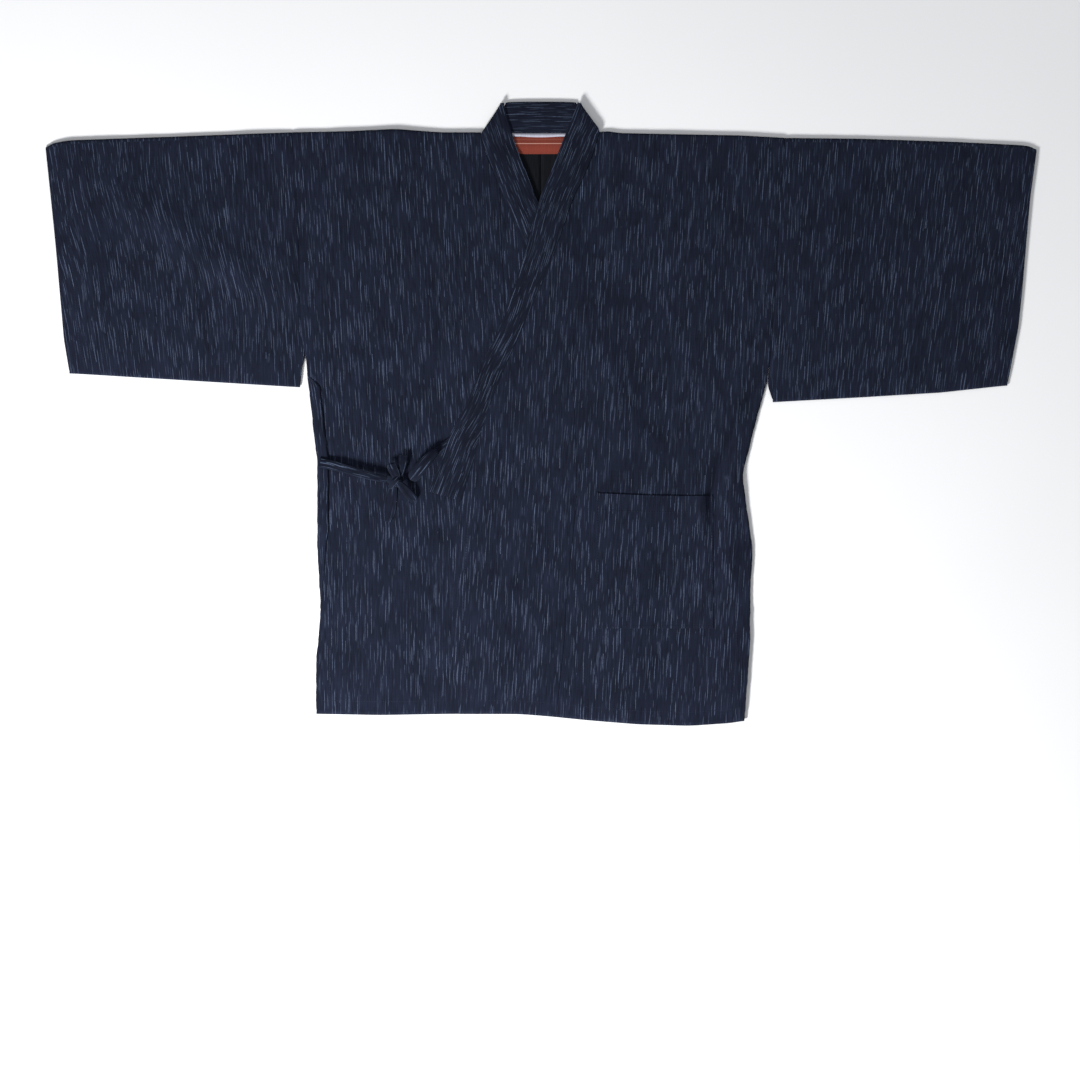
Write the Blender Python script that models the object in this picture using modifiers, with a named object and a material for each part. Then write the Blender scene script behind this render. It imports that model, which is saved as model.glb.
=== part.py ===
"""Jinbei top (a short, wide-sleeved jacket tied at the wearer's right), lying flat on its back.

X runs across the jacket (the wearer's left is +X), Y up the back towards the collar, Z up from the
surface.  The tables are in millimetres, measured from the centre-back seam and from the shoulder line;
"out" is a distance from the centre-back seam and "down" a distance below the shoulder line.
"""
import math
from collections import namedtuple

import bmesh
import bpy
from mathutils import Vector

# ---------------------------------------------------------------- driving dimensions (mm)
MM = 0.001
WALL = 1.2              # the kasuri cotton, with its seam allowances pressed flat
BAND_WALL = 2.4         # the neckband is folded double
TIE_WALL = 1.2          # a tie is a narrow folded tube, pressed flat
LABEL_WALL = 0.6
SEAM = 0.3              # room between two pieces at a seam
BAND_SEAM = 0.8         # room between the neckband and a panel
LENGTH = 734.0          # shoulder line to hem
Z_BACK = WALL / 2       # middle of the back's wall
Z_FRONT = 3.4           # middle of a front's wall over the back alone
Z_OVER = 6.3            # middle of the left front's wall over the right front
SHOULDER_FOLD = 3.0     # how far the shoulder fold reaches
SIDE_FOLD = 2.2         # how far a side fold reaches
WRAP = 13.0             # the back comes this far round to the front at the right side
SLIT_WRAP = 3.0         # what is left of that above the slit
WRAP_NARROWS, WRAP_NARROWS_OVER = 480.0, 110.0  # the drop where it starts to narrow, and over how much
SEAM_TOP, SLIT_TOP = 300.0, 600.0   # the side seam runs between these drops, and the slit is below it
SLIT_GAP = 2.0          # the back's edge lies this far inside the front's at the slit
CENTRE_GAP = SEAM / 2
LEVEL = 480.0           # below this drop the rows fan out to follow the hem
RISE_REACH = 200.0      # the shoulder line's slope fades out over this drop
BACK_SHORTER = 4.0      # the back's hem sits this much higher than the front's
CLIMB_RUN = 45.0        # the left front climbs over the right front in this width,
CLIMB_CLEAR = 50.0      # starting this far beyond the right front's hidden edge,
CLIMB_TOP, CLIMB_FADE = 20.0, 60.0  # and not before these drops below the shoulder

NAVY = (0.0125, 0.0155, 0.0290, 1.0)
NAVY_BAND = (0.0115, 0.0140, 0.0245, 1.0)
BRICK = (0.2100, 0.0400, 0.0250, 1.0)
TAPE_WHITE = (0.5200, 0.5200, 0.5600, 1.0)

# ---------------------------------------------------------------- outlines (mm)
Edge = namedtuple("Edge", "down out")
Line = namedtuple("Line", "out rise")
Band = namedtuple("Band", "free_x free_y seam_x seam_y height")
Strip = namedtuple("Strip", "x y width height")
Fold = namedtuple("Fold", "x0 y0 x1 y1 half_width height")

SIDE_RIGHT = [Edge(0, 311), Edge(110, 303), Edge(250, 300), Edge(284, 293), Edge(300, 292),
              Edge(340, 287), Edge(371, 284), Edge(410, 279), Edge(520, 279), Edge(590, 275),
              Edge(620, 277), Edge(660, 281), Edge(734, 281)]
SIDE_LEFT = [Edge(7, 304), Edge(84, 299), Edge(210, 292), Edge(284, 286), Edge(315, 281),
             Edge(352, 270), Edge(396, 259), Edge(427, 251), Edge(465, 256), Edge(521, 264),
             Edge(570, 261), Edge(640, 261), Edge(680, 258), Edge(734, 254)]
# Where the okumi (the narrow overlap panel) is sewn to a front.
OKUMI_SEAM = [Edge(62, 51.5), Edge(80, 52), Edge(309, 40), Edge(400, 45), Edge(459, 45), Edge(515, 39),
              Edge(577, 32), Edge(634, 30), Edge(690, 24), Edge(734, 19)]
SHOULDER_RIGHT = [Line(0, 0), Line(126, 0), Line(182, 4.4), Line(240, 1.5), Line(311, 0)]
SHOULDER_LEFT = [Line(0, 0), Line(74, 0), Line(80, 2), Line(99, -1), Line(250, -4), Line(304, -7)]
# The hem's drop below the shoulder line, from the right side to the left side.
HEM = [Line(-281, 726), Line(-200, 727.5), Line(-114, 726), Line(-26, 726), Line(11, 729),
       Line(61, 734), Line(124, 739), Line(186, 741), Line(242, 737), Line(254, 734)]

SLEEVE_TOP_RIGHT = [Line(311, 0), Line(370, -2), Line(476, -6), Line(590, -10), Line(612, -14), Line(618.75, -20)]
SLEEVE_TOP_LEFT = [Line(304, -7), Line(400, -8), Line(520, -12), Line(600, -16), Line(614, -18), Line(619, -23)]
SLEEVE_FOOT_RIGHT = [Line(301, -317.5), Line(589, -300)]
SLEEVE_FOOT_LEFT = [Line(290, -336), Line(400, -330), Line(500, -324), Line(582.5, -315)]
# A sleeve follows the body's side down to the armpit; its own corner hangs a little lower.
ARMHOLE_RIGHT = SIDE_RIGHT[:3] + [Edge(284, 298), Edge(318, 301)]
ARMHOLE_LEFT = SIDE_LEFT[:4] + [Edge(315, 283), Edge(336, 290)]
CUFF_RIGHT = [Edge(20, 618.75), Edge(146, 606), Edge(259, 596), Edge(300, 589)]
CUFF_LEFT = [Edge(23, 619), Edge(84, 611), Edge(200, 601), Edge(246, 596), Edge(315, 582.5)]

# The two side stretches of the neckband, from the tip behind the neck to the lower end.
BAND_LEFT = [Band(46.6, 37.0, 49.2, 36.4, 4.5), Band(44, 31, 53, 30, 4.5), Band(36, 10, 64.5, 15, 4.5),
             Band(27.5, -10, 73, 3, 4.5), Band(12, -50, 58, -44, 5.2), Band(-3, -87.5, 38, -87, 6.5),
             Band(-15.5, -134, 18, -147, 6.5), Band(-27.5, -174, -2, -197.5, 6.5),
             Band(-49, -237.5, -29, -257.5, 6.5), Band(-72.5, -287.5, -52.5, -311, 6.5),
             Band(-92.5, -337.5, -72.5, -365, 6.5), Band(-114, -379, -86, -415, 6.5),
             Band(-140.6, -448, -100, -460, 6.5)]
BAND_RIGHT = [Band(-47.4, 37.0, -50.0, 36.4, 4.5), Band(-46, 30, -54, 29, 4.5), Band(-40, 10, -66, 11, 4.4),
              Band(-34, -9, -74, -1, 4.2), Band(-20, -46, -66, -33, 3.8), Band(-4, -87.5, -47.5, -77, 3.6),
              Band(14, -134, -21, -136, 3.5), Band(27.5, -174, 2, -197.5, 3.5),
              Band(49, -237.5, 29, -257.5, 3.5), Band(72.5, -287.5, 52.5, -311, 3.5),
              Band(92.5, -337.5, 72.5, -365, 3.5), Band(114, -379, 86, -415, 3.5),
              Band(140.6, -448, 100, -460, 3.5)]
# Below the band's end the okumi has a free front edge, folded under.
FRONT_EDGE = [Edge(460, -100), Edge(475, -104), Edge(559, -110), Edge(646, -112), Edge(734, -102)]
# The overlap's reach towards +X: the hidden edge of the right front.
UNDERLAP = [Edge(0, -20), Edge(87, -4), Edge(237, 49), Edge(337, 92), Edge(448, 140), Edge(475, 112), Edge(734, 106)]

BAND_BACK_TOP = 38.75
BAND_BACK_TOP_HALF = 43.5
BAND_BACK_FOOT_HALF = 61.0

POCKET = {"left": 69.0, "right": 215.0, "top": -450.0, "top_right": -453.5, "foot": -619.0}
POCKET_LIFT = 0.9
LABEL = {"left": -36.0, "right": 31.0, "top": -5.4, "foot": -26.5, "corner": 7.0}
TAPE = {"left": -37.0, "right": 34.0, "top": -0.4, "foot": -4.8}

# Flat strips of the ties and their knot: places, widths and the height of the wall's middle.
TIES = {
    "tie_side": [Strip(-277.5, -412, 11.5, 5.1), Strip(-250, -419, 11.0, 5.6), Strip(-222, -427, 9.6, 6.0),
                 Strip(-198.5, -433, 8.6, 6.4)],
    "tie_collar": [Strip(-124.5, -393.5, 9.0, 4.9), Strip(-133, -399, 9.6, 4.9), Strip(-143, -407, 10.5, 4.9)],
    "loop_collar": [Strip(-131, -397, 8.5, 7.9), Strip(-139, -405, 13.0, 8.3), Strip(-149, -417, 14.6, 8.2),
                    Strip(-158, -427, 14.0, 7.6), Strip(-163, -433, 9.0, 7.0)],
    "tail_up": [Strip(-170.5, -403.5, 9.5, 4.8), Strip(-171.5, -415, 10.0, 5.2), Strip(-173, -425.5, 8.5, 5.8)],
    "loop_up": [Strip(-190.5, -413.5, 8.0, 7.0), Strip(-187, -419.5, 10.5, 7.6), Strip(-182.5, -426, 9.0, 7.6)],
    "tail_right": [Strip(-176, -443, 8.0, 6.6), Strip(-166, -451.5, 9.6, 5.8), Strip(-156.5, -459, 10.2, 5.0)],
    "tail_down": [Strip(-187, -445.5, 10.0, 5.2), Strip(-188, -465, 14.0, 4.8), Strip(-190, -478, 11.5, 4.8),
                  Strip(-192, -485, 8.0, 4.8)],
}
KNOT = {"x": -184.5, "y": -435.5, "z": 7.2, "length": 22.0, "width": 14.0, "height": 5.6, "turn": -24.0}

# The largest folds of the cloth, as ridges that stand up from each panel.
SLEEVE_FOLDS = [Fold(-550, -52, -400, -150, 46, 1.8), Fold(-400, -150, -330, -210, 40, 1.5),
                Fold(520, -120, 380, -210, 52, 0.9)]
RIGHT_FRONT_FOLDS = [Fold(-142, -90, -122, -270, 34, 1.2), Fold(-240, -500, -228, -680, 36, 1.1)]
LEFT_FRONT_FOLDS = [Fold(262, -330, 232, -420, 26, 1.6), Fold(205, -380, 178, -440, 30, 1.1),
                    Fold(120, -640, 30, -690, 36, 1.2)]

# ---------------------------------------------------------------- mesh density
FRONT_DOWNS = [8, 33, 44, 62, 80, 110, 160, 210, 250, 284, 315, 352, 396, 427, 465, 521, 590, 640, 690, 734]
OKUMI_FIRST = FRONT_DOWNS.index(80)
SLEEVE_LAST = FRONT_DOWNS.index(284)
FRONT_COLUMNS = 7
NECK_COLUMNS = 2
OKUMI_COLUMNS = 3
SLEEVE_COLUMNS = 7
FOLD_STEPS = 4
BAND_COLUMNS = 2
PATCH_STEPS = 6


# ---------------------------------------------------------------- helpers
def along(table, value):
    """Straight-line reading of a two-column table."""
    first = table[0]
    if value <= first[0]:
        return first[1]
    for low, high in zip(table, table[1:]):
        if value <= high[0]:
            share = (value - low[0]) / (high[0] - low[0])
            return low[1] + share * (high[1] - low[1])
    return table[-1][1]


def mix(a, b, share):
    return a + (b - a) * share


def smooth(value):
    value = min(1.0, max(0.0, value))
    return value * value * (3 - 2 * value)


def relief(folds, x, y):
    """Height added by soft ridges, each highest along its own line."""
    height = 0.0
    for fold in folds:
        run = Vector((fold.x1 - fold.x0, fold.y1 - fold.y0))
        place = Vector((x - fold.x0, y - fold.y0))
        share = min(1.0, max(0.0, place.dot(run) / run.length_squared))
        away = (place - run * share).length / fold.half_width
        height += fold.height * smooth(1 - away)
    return height


def left_front_height(x, y):
    """Middle of the left front's wall: it climbs over the hidden part of the right front."""
    reach = along(UNDERLAP, -y) + CLIMB_CLEAR
    over = smooth((reach - x) / CLIMB_RUN) * smooth((-y - CLIMB_TOP) / CLIMB_FADE)
    return mix(Z_FRONT, Z_OVER, over) + relief(LEFT_FRONT_FOLDS, x, y)


def right_front_height(x, y):
    return Z_FRONT + relief(RIGHT_FRONT_FOLDS, x, y)


def material(name, colour, roughness):
    made = bpy.data.materials.new(name)
    made.use_nodes = True
    shader = made.node_tree.nodes["Principled BSDF"]
    shader.inputs["Base Color"].default_value = colour
    shader.inputs["Roughness"].default_value = roughness
    shader.inputs["Metallic"].default_value = 0.0
    made.diffuse_color = colour
    return made


def cloth(name, grids, thickness, colour, roughness=0.9):
    """One piece of cloth: grids of points sewn into an open surface, given its wall by Solidify."""
    shape = bmesh.new()
    for grid, closed in grids:
        points = [[shape.verts.new(Vector(point) * MM) for point in row] for row in grid]
        pairs = list(zip(points, points[1:]))
        if closed:
            pairs.append((points[-1], points[0]))
        for upper, lower in pairs:
            for column in range(len(upper) - 1):
                corners = (upper[column], upper[column + 1], lower[column + 1], lower[column])
                shape.faces.new(corners)
    bmesh.ops.remove_doubles(shape, verts=shape.verts, dist=0.00002)
    bmesh.ops.recalc_face_normals(shape, faces=shape.faces)
    mesh = bpy.data.meshes.new(name)
    shape.to_mesh(mesh)
    shape.free()
    mesh.shade_smooth()
    mesh.materials.append(material(name, colour, roughness))
    piece = bpy.data.objects.new(name, mesh)
    JACKET.objects.link(piece)
    wall = piece.modifiers.new("wall", "SOLIDIFY")
    wall.thickness = thickness * MM
    wall.offset = 0.0
    wall.use_even_offset = True
    return piece


def place(across, down, shoulder, shorter=0.0):
    """Height on the surface of a row's point, from its nominal drop below the shoulder line."""
    y = along(shoulder, abs(across)) * max(0.0, 1 - down / RISE_REACH) - down
    if down > LEVEL:
        drop = along(HEM, across) - shorter
        y = -LEVEL - (down - LEVEL) * (drop - LEVEL) / (LENGTH - LEVEL)
    return y


# ---------------------------------------------------------------- the two body halves
def body_half(name, side, side_edge, shoulder, neck_edge, height, wrap_front):
    """One length of cloth from the front hem, over the shoulder and down the back.

    wrap_front is True where the front turns under at the side and False where the back comes round.
    """
    def turned(down):
        """Width of the strip that turns round the side fold: none above the armpit or at the slit."""
        if not SEAM_TOP <= down <= SLIT_TOP:
            return 0.0
        return mix(WRAP, SLIT_WRAP, smooth((down - WRAP_NARROWS) / WRAP_NARROWS_OVER))

    def edge_out(down):
        guess = side * along(side_edge, down)
        return along(side_edge, -place(guess, down, shoulder))

    def row(down, inner, outer, level, shorter=0.0, columns=FRONT_COLUMNS):
        points = []
        for column in range(columns + 1):
            x = side * mix(inner, outer, column / columns)
            y = place(x, down, shoulder, shorter)
            points.append((x, y, level(x, y)))
        return points

    front, back, wrap = [], [], []
    for down in reversed(FRONT_DOWNS):
        outer = edge_out(down)
        if SEAM_TOP <= down <= SLIT_TOP:
            outer -= SIDE_FOLD if wrap_front else turned(down) + SEAM
        front.append(row(down, along(neck_edge, down), outer, height))

    fold = []
    inner, outer = along(neck_edge, 0), edge_out(0)
    for step in range(FOLD_STEPS + 1):
        turn = math.pi * step / FOLD_STEPS
        points = []
        for column in range(FRONT_COLUMNS + 1):
            x = side * mix(inner, outer, column / FRONT_COLUMNS)
            top = along(shoulder, abs(x))
            crown = height(x, top)
            middle, half = (crown + Z_BACK) / 2, (crown - Z_BACK) / 2
            points.append((x, top - SHOULDER_FOLD * (1 - math.sin(turn)), middle + half * math.cos(turn)))
        fold.append(points)

    for down in FRONT_DOWNS:
        outer = edge_out(down)
        if SEAM_TOP <= down <= SLIT_TOP:
            outer -= turned(down) + SEAM if wrap_front else SIDE_FOLD
        elif down > SLIT_TOP:
            outer -= SLIT_GAP
        back.append(row(down, inner, outer, lambda x, y: Z_BACK, BACK_SHORTER))

    neck = [[fold[-1][0]]]
    for column in range(1, NECK_COLUMNS + 1):
        x = side * mix(inner, CENTRE_GAP, column / NECK_COLUMNS)
        neck[0].append((x, -SEAM, Z_BACK))
    for down in FRONT_DOWNS:
        neck.append(row(down, inner, CENTRE_GAP, lambda x, y: Z_BACK, BACK_SHORTER, NECK_COLUMNS))

    owner = front[::-1] if wrap_front else back
    for down, points in zip(FRONT_DOWNS, owner):
        if not SEAM_TOP <= down <= SLIT_TOP:
            continue
        x, y, z = points[-1]
        far = height(x, y) if not wrap_front else Z_BACK
        reach = SIDE_FOLD * side
        turns = [points[-1], (x + reach * 0.8, y, mix(z, far, 0.2)), (x + reach, y, mix(z, far, 0.5)),
                 (x + reach * 0.8, y, mix(z, far, 0.8)), (x, y, far)]
        run = turned(down) - SIDE_FOLD
        if run > 1.0:
            turns.append((x - side * run, y, height(x, y) if not wrap_front else Z_BACK))
        else:
            turns.append((x - side * 0.8, y, far))
        wrap.append(turns)

    grids = [(front + fold + back, False), (neck, False), (wrap, False)]
    return cloth(name, grids, WALL, NAVY)


def band_edge(rows, down):
    """Distance out of the neckband's seam edge at a drop, for the panel sewn to it."""
    table = [(-row.seam_y, abs(row.seam_x)) for row in rows[3:6]]
    return along(table, down)


def neck_edge(rows):
    """Inner edge of a front: along the neckband, then down the okumi's seam."""
    table = [Edge(down, band_edge(rows, down) + BAND_SEAM) for down in (0, 8, 33, 44, 62)]
    return table + [Edge(row.down, row.out + SEAM / 2) for row in OKUMI_SEAM if row.down > 62]


# ---------------------------------------------------------------- okumi (overlap panels)
def okumi(name, side, band, shoulder, height):
    """The overlap panel: a wedge beside the neckband that widens down to a straight front edge."""
    rows = []
    table = [(-row.seam_y, row.seam_x * side) for row in band[4:]]
    table += [(row.down, row.out) for row in FRONT_EDGE[1:]]
    for down in FRONT_DOWNS[OKUMI_FIRST:]:
        free = along(table, down) + BAND_SEAM
        seam = along(OKUMI_SEAM, down) - SEAM / 2
        points = []
        for column in range(OKUMI_COLUMNS + 1):
            x = side * mix(seam, free, column / OKUMI_COLUMNS)
            y = place(x, down, shoulder)
            points.append((x, y, height(x, y)))
        rows.append(points)
    return cloth(name, [(rows, False)], WALL, NAVY)


# ---------------------------------------------------------------- sleeves
def sleeve(name, side, top, foot, armhole, cuff, shoulder):
    """A wide flat tube, folded along its top and sewn along its foot, open at the armhole and cuff."""
    depth = top[0].rise - foot[0].rise
    falls = []
    for down in FRONT_DOWNS[1:SLEEVE_LAST + 1]:
        y = place(side * along(armhole, down), down, shoulder)
        falls.append((top[0].rise - y) / depth)

    def spot(share, fall):
        top_y, foot_y = along(top, mix(top[0].out, top[-1].out, share)), along(
            foot, mix(foot[0].out, foot[-1].out, share))
        down = -mix(top_y, foot_y, fall)
        x = side * mix(along(armhole, down) + SEAM, along(cuff, down), share)
        return x, along(top, abs(x)) * (1 - fall) + along(foot, abs(x)) * fall

    def front_height(x, y):
        return Z_FRONT + relief(SLEEVE_FOLDS, x, y)

    turns = [math.pi * step / FOLD_STEPS for step in range(FOLD_STEPS + 1)]
    ring = [("front", fall, 0.0) for fall in falls]
    ring += [("foot", 1.0, turn) for turn in turns]
    ring += [("back", fall, 0.0) for fall in reversed(falls)]
    ring += [("top", 0.0, turn) for turn in turns]

    rows = []
    for kind, fall, turn in ring:
        points = []
        for column in range(SLEEVE_COLUMNS + 1):
            x, y = spot(column / SLEEVE_COLUMNS, fall)
            crown = front_height(x, y)
            middle, half = (crown + Z_BACK) / 2, (crown - Z_BACK) / 2
            z = crown if kind == "front" else Z_BACK
            if kind == "foot":
                y += SHOULDER_FOLD * (1 - math.sin(turn))
                z = middle + half * math.cos(turn)
            if kind == "top":
                y -= SHOULDER_FOLD * (1 - math.sin(turn))
                z = middle - half * math.cos(turn)
            points.append((x, y, z))
        rows.append(points)
    return cloth(name, [(rows, True)], WALL, NAVY)


# ---------------------------------------------------------------- neckband
def side_band(name, rows):
    grid = []
    for row in rows:
        points = []
        for column in range(BAND_COLUMNS + 1):
            share = column / BAND_COLUMNS
            points.append((mix(row.free_x, row.seam_x, share), mix(row.free_y, row.seam_y, share), row.height))
        grid.append(points)
    return cloth(name, [(grid, False)], BAND_WALL, NAVY_BAND)


def back_band():
    grid = []
    for step in range(BAND_COLUMNS + 1):
        share = step / BAND_COLUMNS
        half = mix(BAND_BACK_TOP_HALF, BAND_BACK_FOOT_HALF, share)
        y = mix(BAND_BACK_TOP, SEAM, share)
        grid.append([(mix(-half, half, column / PATCH_STEPS), y, BAND_WALL / 2)
                     for column in range(PATCH_STEPS + 1)])
    return cloth("neckband_back", [(grid, False)], BAND_WALL, NAVY_BAND)


# ---------------------------------------------------------------- pocket, label, ties
def pocket():
    lift = WALL + POCKET_LIFT
    grid = []
    for step in range(PATCH_STEPS + 1):
        row = []
        for column in range(PATCH_STEPS + 1):
            share = column / PATCH_STEPS
            x = mix(POCKET["left"], POCKET["right"], share)
            top = mix(POCKET["top"], POCKET["top_right"], share)
            y = mix(top, POCKET["foot"], step / PATCH_STEPS)
            row.append((x, y, left_front_height(x, y) + lift))
        grid.append(row)
    return cloth("pocket", [(grid, False)], WALL, NAVY)


def neck_label():
    """A plain woven label with rounded lower corners, under a strip of white tape."""
    z = WALL + SEAM + LABEL_WALL / 2
    grid = []
    for step in range(5):
        fall = step / 4
        y = mix(LABEL["top"], LABEL["foot"], fall)
        inset = LABEL["corner"] * (1 - math.sqrt(max(0.0, 1 - max(0.0, (fall - 0.5) / 0.5) ** 2))) * 0.8
        left, right = LABEL["left"] + inset, LABEL["right"] - inset
        grid.append([(mix(left, right, column / 4), y, z) for column in range(5)])
    return cloth("neck_label", [(grid, False)], LABEL_WALL, BRICK)


def neck_tape():
    z = WALL + SEAM + LABEL_WALL / 2
    grid = [[(mix(TAPE["left"], TAPE["right"], column / 6), y, z) for column in range(7)]
            for y in (TAPE["top"], mix(TAPE["top"], TAPE["foot"], 0.5), TAPE["foot"])]
    return cloth("neck_tape", [(grid, False)], LABEL_WALL, TAPE_WHITE)


def tie(name, rows):
    grid = []
    for number, row in enumerate(rows):
        before, after = rows[max(0, number - 1)], rows[min(len(rows) - 1, number + 1)]
        run = Vector((after.x - before.x, after.y - before.y)).normalized()
        across = Vector((-run.y, run.x)) * row.width / 2
        grid.append([(row.x + across.x * share, row.y + across.y * share, row.height) for share in (-1, 0, 1)])
    return cloth(name, [(grid, False)], TIE_WALL, NAVY_BAND)


def knot():
    """The ties' knot: a soft, flattened lump of cloth."""
    shape = bmesh.new()
    bmesh.ops.create_cube(shape, size=1.0)
    mesh = bpy.data.meshes.new("knot")
    shape.to_mesh(mesh)
    shape.free()
    for vertex in mesh.vertices:
        vertex.co.x *= KNOT["length"] * MM
        vertex.co.y *= KNOT["width"] * MM
        vertex.co.z *= KNOT["height"] * MM
    mesh.shade_smooth()
    mesh.materials.append(material("knot", NAVY_BAND, 0.9))
    piece = bpy.data.objects.new("knot", mesh)
    piece.location = Vector((KNOT["x"], KNOT["y"], KNOT["z"])) * MM
    piece.rotation_euler.z = math.radians(KNOT["turn"])
    JACKET.objects.link(piece)
    soft = piece.modifiers.new("soft", "SUBSURF")
    soft.levels = 2
    soft.render_levels = 2
    return piece


def centre_on_floor(pieces):
    """Put the origin under the middle of the jacket's box, on the surface it lies on."""
    bpy.context.view_layer.update()
    graph = bpy.context.evaluated_depsgraph_get()
    low, high = Vector((1e9,) * 3), Vector((-1e9,) * 3)
    for piece in pieces:
        seen = piece.evaluated_get(graph)
        for vertex in seen.data.vertices:
            point = seen.matrix_world @ vertex.co
            low = Vector(map(min, low, point))
            high = Vector(map(max, high, point))
    shift = Vector(((low.x + high.x) / 2, (low.y + high.y) / 2, low.z))
    for piece in pieces:
        piece.location -= shift


# ---------------------------------------------------------------- the jacket
for old in list(bpy.data.objects):
    bpy.data.objects.remove(old)
JACKET = bpy.data.collections.new("jinbei_top")
bpy.context.scene.collection.children.link(JACKET)

pieces = [
    body_half("body_right", -1, SIDE_RIGHT, SHOULDER_RIGHT, neck_edge(BAND_RIGHT), right_front_height, False),
    body_half("body_left", 1, SIDE_LEFT, SHOULDER_LEFT, neck_edge(BAND_LEFT), left_front_height, True),
    okumi("okumi_right", -1, BAND_RIGHT, SHOULDER_RIGHT, right_front_height),
    okumi("okumi_left", 1, BAND_LEFT, SHOULDER_LEFT, left_front_height),
    sleeve("sleeve_right", -1, SLEEVE_TOP_RIGHT, SLEEVE_FOOT_RIGHT, ARMHOLE_RIGHT, CUFF_RIGHT, SHOULDER_RIGHT),
    sleeve("sleeve_left", 1, SLEEVE_TOP_LEFT, SLEEVE_FOOT_LEFT, ARMHOLE_LEFT, CUFF_LEFT, SHOULDER_LEFT),
    back_band(),
    side_band("neckband_right", BAND_RIGHT),
    side_band("neckband_left", BAND_LEFT),
    pocket(),
    neck_label(),
    neck_tape(),
    knot(),
]
pieces += [tie(name, rows) for name, rows in TIES.items()]
centre_on_floor(pieces)
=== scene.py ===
"""Jinbei top laid flat: kasuri cotton panels, neckband, pocket, label and tied cords, on a pale floor."""
import math

import bmesh
import bpy
import numpy as np
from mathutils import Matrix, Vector


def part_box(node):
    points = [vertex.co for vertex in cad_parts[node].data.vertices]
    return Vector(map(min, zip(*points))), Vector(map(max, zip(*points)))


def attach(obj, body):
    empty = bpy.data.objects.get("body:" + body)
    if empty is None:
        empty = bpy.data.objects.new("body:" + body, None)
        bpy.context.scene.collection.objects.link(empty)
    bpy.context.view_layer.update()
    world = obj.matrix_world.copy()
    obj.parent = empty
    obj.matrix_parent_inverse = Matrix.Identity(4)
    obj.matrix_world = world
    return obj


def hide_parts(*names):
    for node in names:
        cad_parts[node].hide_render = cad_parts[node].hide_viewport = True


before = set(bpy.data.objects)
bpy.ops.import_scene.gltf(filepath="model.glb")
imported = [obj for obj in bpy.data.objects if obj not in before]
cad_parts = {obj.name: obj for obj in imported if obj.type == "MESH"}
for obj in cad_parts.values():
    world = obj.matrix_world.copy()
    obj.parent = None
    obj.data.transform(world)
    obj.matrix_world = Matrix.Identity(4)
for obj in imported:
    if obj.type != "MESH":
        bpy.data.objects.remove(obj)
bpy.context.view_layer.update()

bl_info = {
    "name": "Jinbei top laid flat",
    "version": (1, 0, 0),
    "blender": (4, 5, 0),
    "location": "3D View > Sidebar > Jinbei",
    "description": "Builds a kasuri cotton jinbei top, laid flat and tied, from named sizes",
    "category": "Add Mesh",
}

# ---------------------------------------------------------------- the garment's own measures
# All tables are in millimetres.  "out" is a distance from the centre-back seam, "down" a drop below the
# shoulder line; x and y are the same two directions with a sign (+x is the wearer's left, +y the collar).
MM = 0.001
BAND_TOP = 38.75        # the back neckband's top edge stands this far above the shoulder line
band_low, band_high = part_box("neckband_back")
ORIGIN_X = (band_low[0] + band_high[0]) / 2
ORIGIN_Y = band_high[1] - BAND_TOP * MM

LENGTH = 734.0          # from the shoulder line to the hem
LEVEL = 480.0           # below this drop the rows fan out to follow the hem
RISE_REACH = 200.0      # the shoulder's rise dies out over this drop
SEAM = 0.08             # gap between two panels at a seam
Z_BACK = 0.6            # height of the middle of the back's wall,
Z_FRONT = 3.4           # of a front's,
Z_OVER = 6.3            # and of the left front's where it lies on the right one
FIRST_ROW = 5.0         # drop of the front's first row, beside the shoulder fold
FOLD_ROWS = 8           # rows round that fold
SHOULDER_FOLD = 3.0     # how far the fold over the shoulder draws in
SIDE_FOLD = 2.2         # how far the cloth turns out at the side
SLIT_GAP = 2.0          # the back's edge lies this far inside the front's at the slit
WRAP = 13.0             # how far the back comes round to the front at the right side
LAP_PROUD = 1.1         # how far that lap's edge stands above the front
BACK_SHORTER = 4.0      # the back's hem lies this far above the front's
SEAM_TOP, SLIT_TOP = 300.0, 600.0   # drops of the side seam's two ends
OKUMI_TOP = 63.0        # drop of the okumi's point
# Usual widths across a piece, for spacing the columns of its mesh, and the step between two columns.
PANEL_WIDE, SLEEVE_LONG, OKUMI_WIDE, BAND_WIDE = 230.0, 300.0, 100.0, 40.0
POCKET_WIDE, POCKET_DEEP = 146.0, 169.0
COLUMN, BAND_COLUMN, POCKET_COLUMN = 4.6, 3.4, 3.6

SIDE_RIGHT = dict(down=(0, 110, 250, 284, 300, 340, 371, 410, 520, 590, 620, 660, 734),
                  out=(311, 303, 300, 293, 292, 287, 284, 279, 279, 275, 277, 281, 281))
SIDE_LEFT = dict(down=(7, 84, 210, 284, 315, 352, 396, 427, 465, 521, 570, 640, 680, 734),
                 out=(304, 299, 292, 286, 281, 270, 259, 251, 256, 264, 261, 261, 258, 254))
OKUMI_SEAM = dict(down=(62, 80, 309, 400, 459, 515, 577, 634, 690, 734),
                  out=(50, 52, 40, 45, 45, 39, 32, 30, 24, 19))
FRONT_EDGE = dict(down=(460, 475, 559, 646, 734), out=(-100, -104, -110, -112, -102))
UNDERLAP = dict(down=(0, 87, 237, 337, 448, 475, 734), out=(-20, -4, 49, 92, 140, 112, 106))
SHOULDER_RIGHT = dict(out=(0, 126, 182, 240, 311), rise=(0, 0, 4.4, 1.5, 0))
SHOULDER_LEFT = dict(out=(0, 74, 80, 99, 250, 304), rise=(0, 0, 2, -1, -4, -7))
HEM = dict(x=(-281, -200, -114, -26, 11, 61, 124, 186, 242, 254),
           drop=(726, 727.5, 726, 726, 729, 734, 739, 741, 737, 734))
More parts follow.
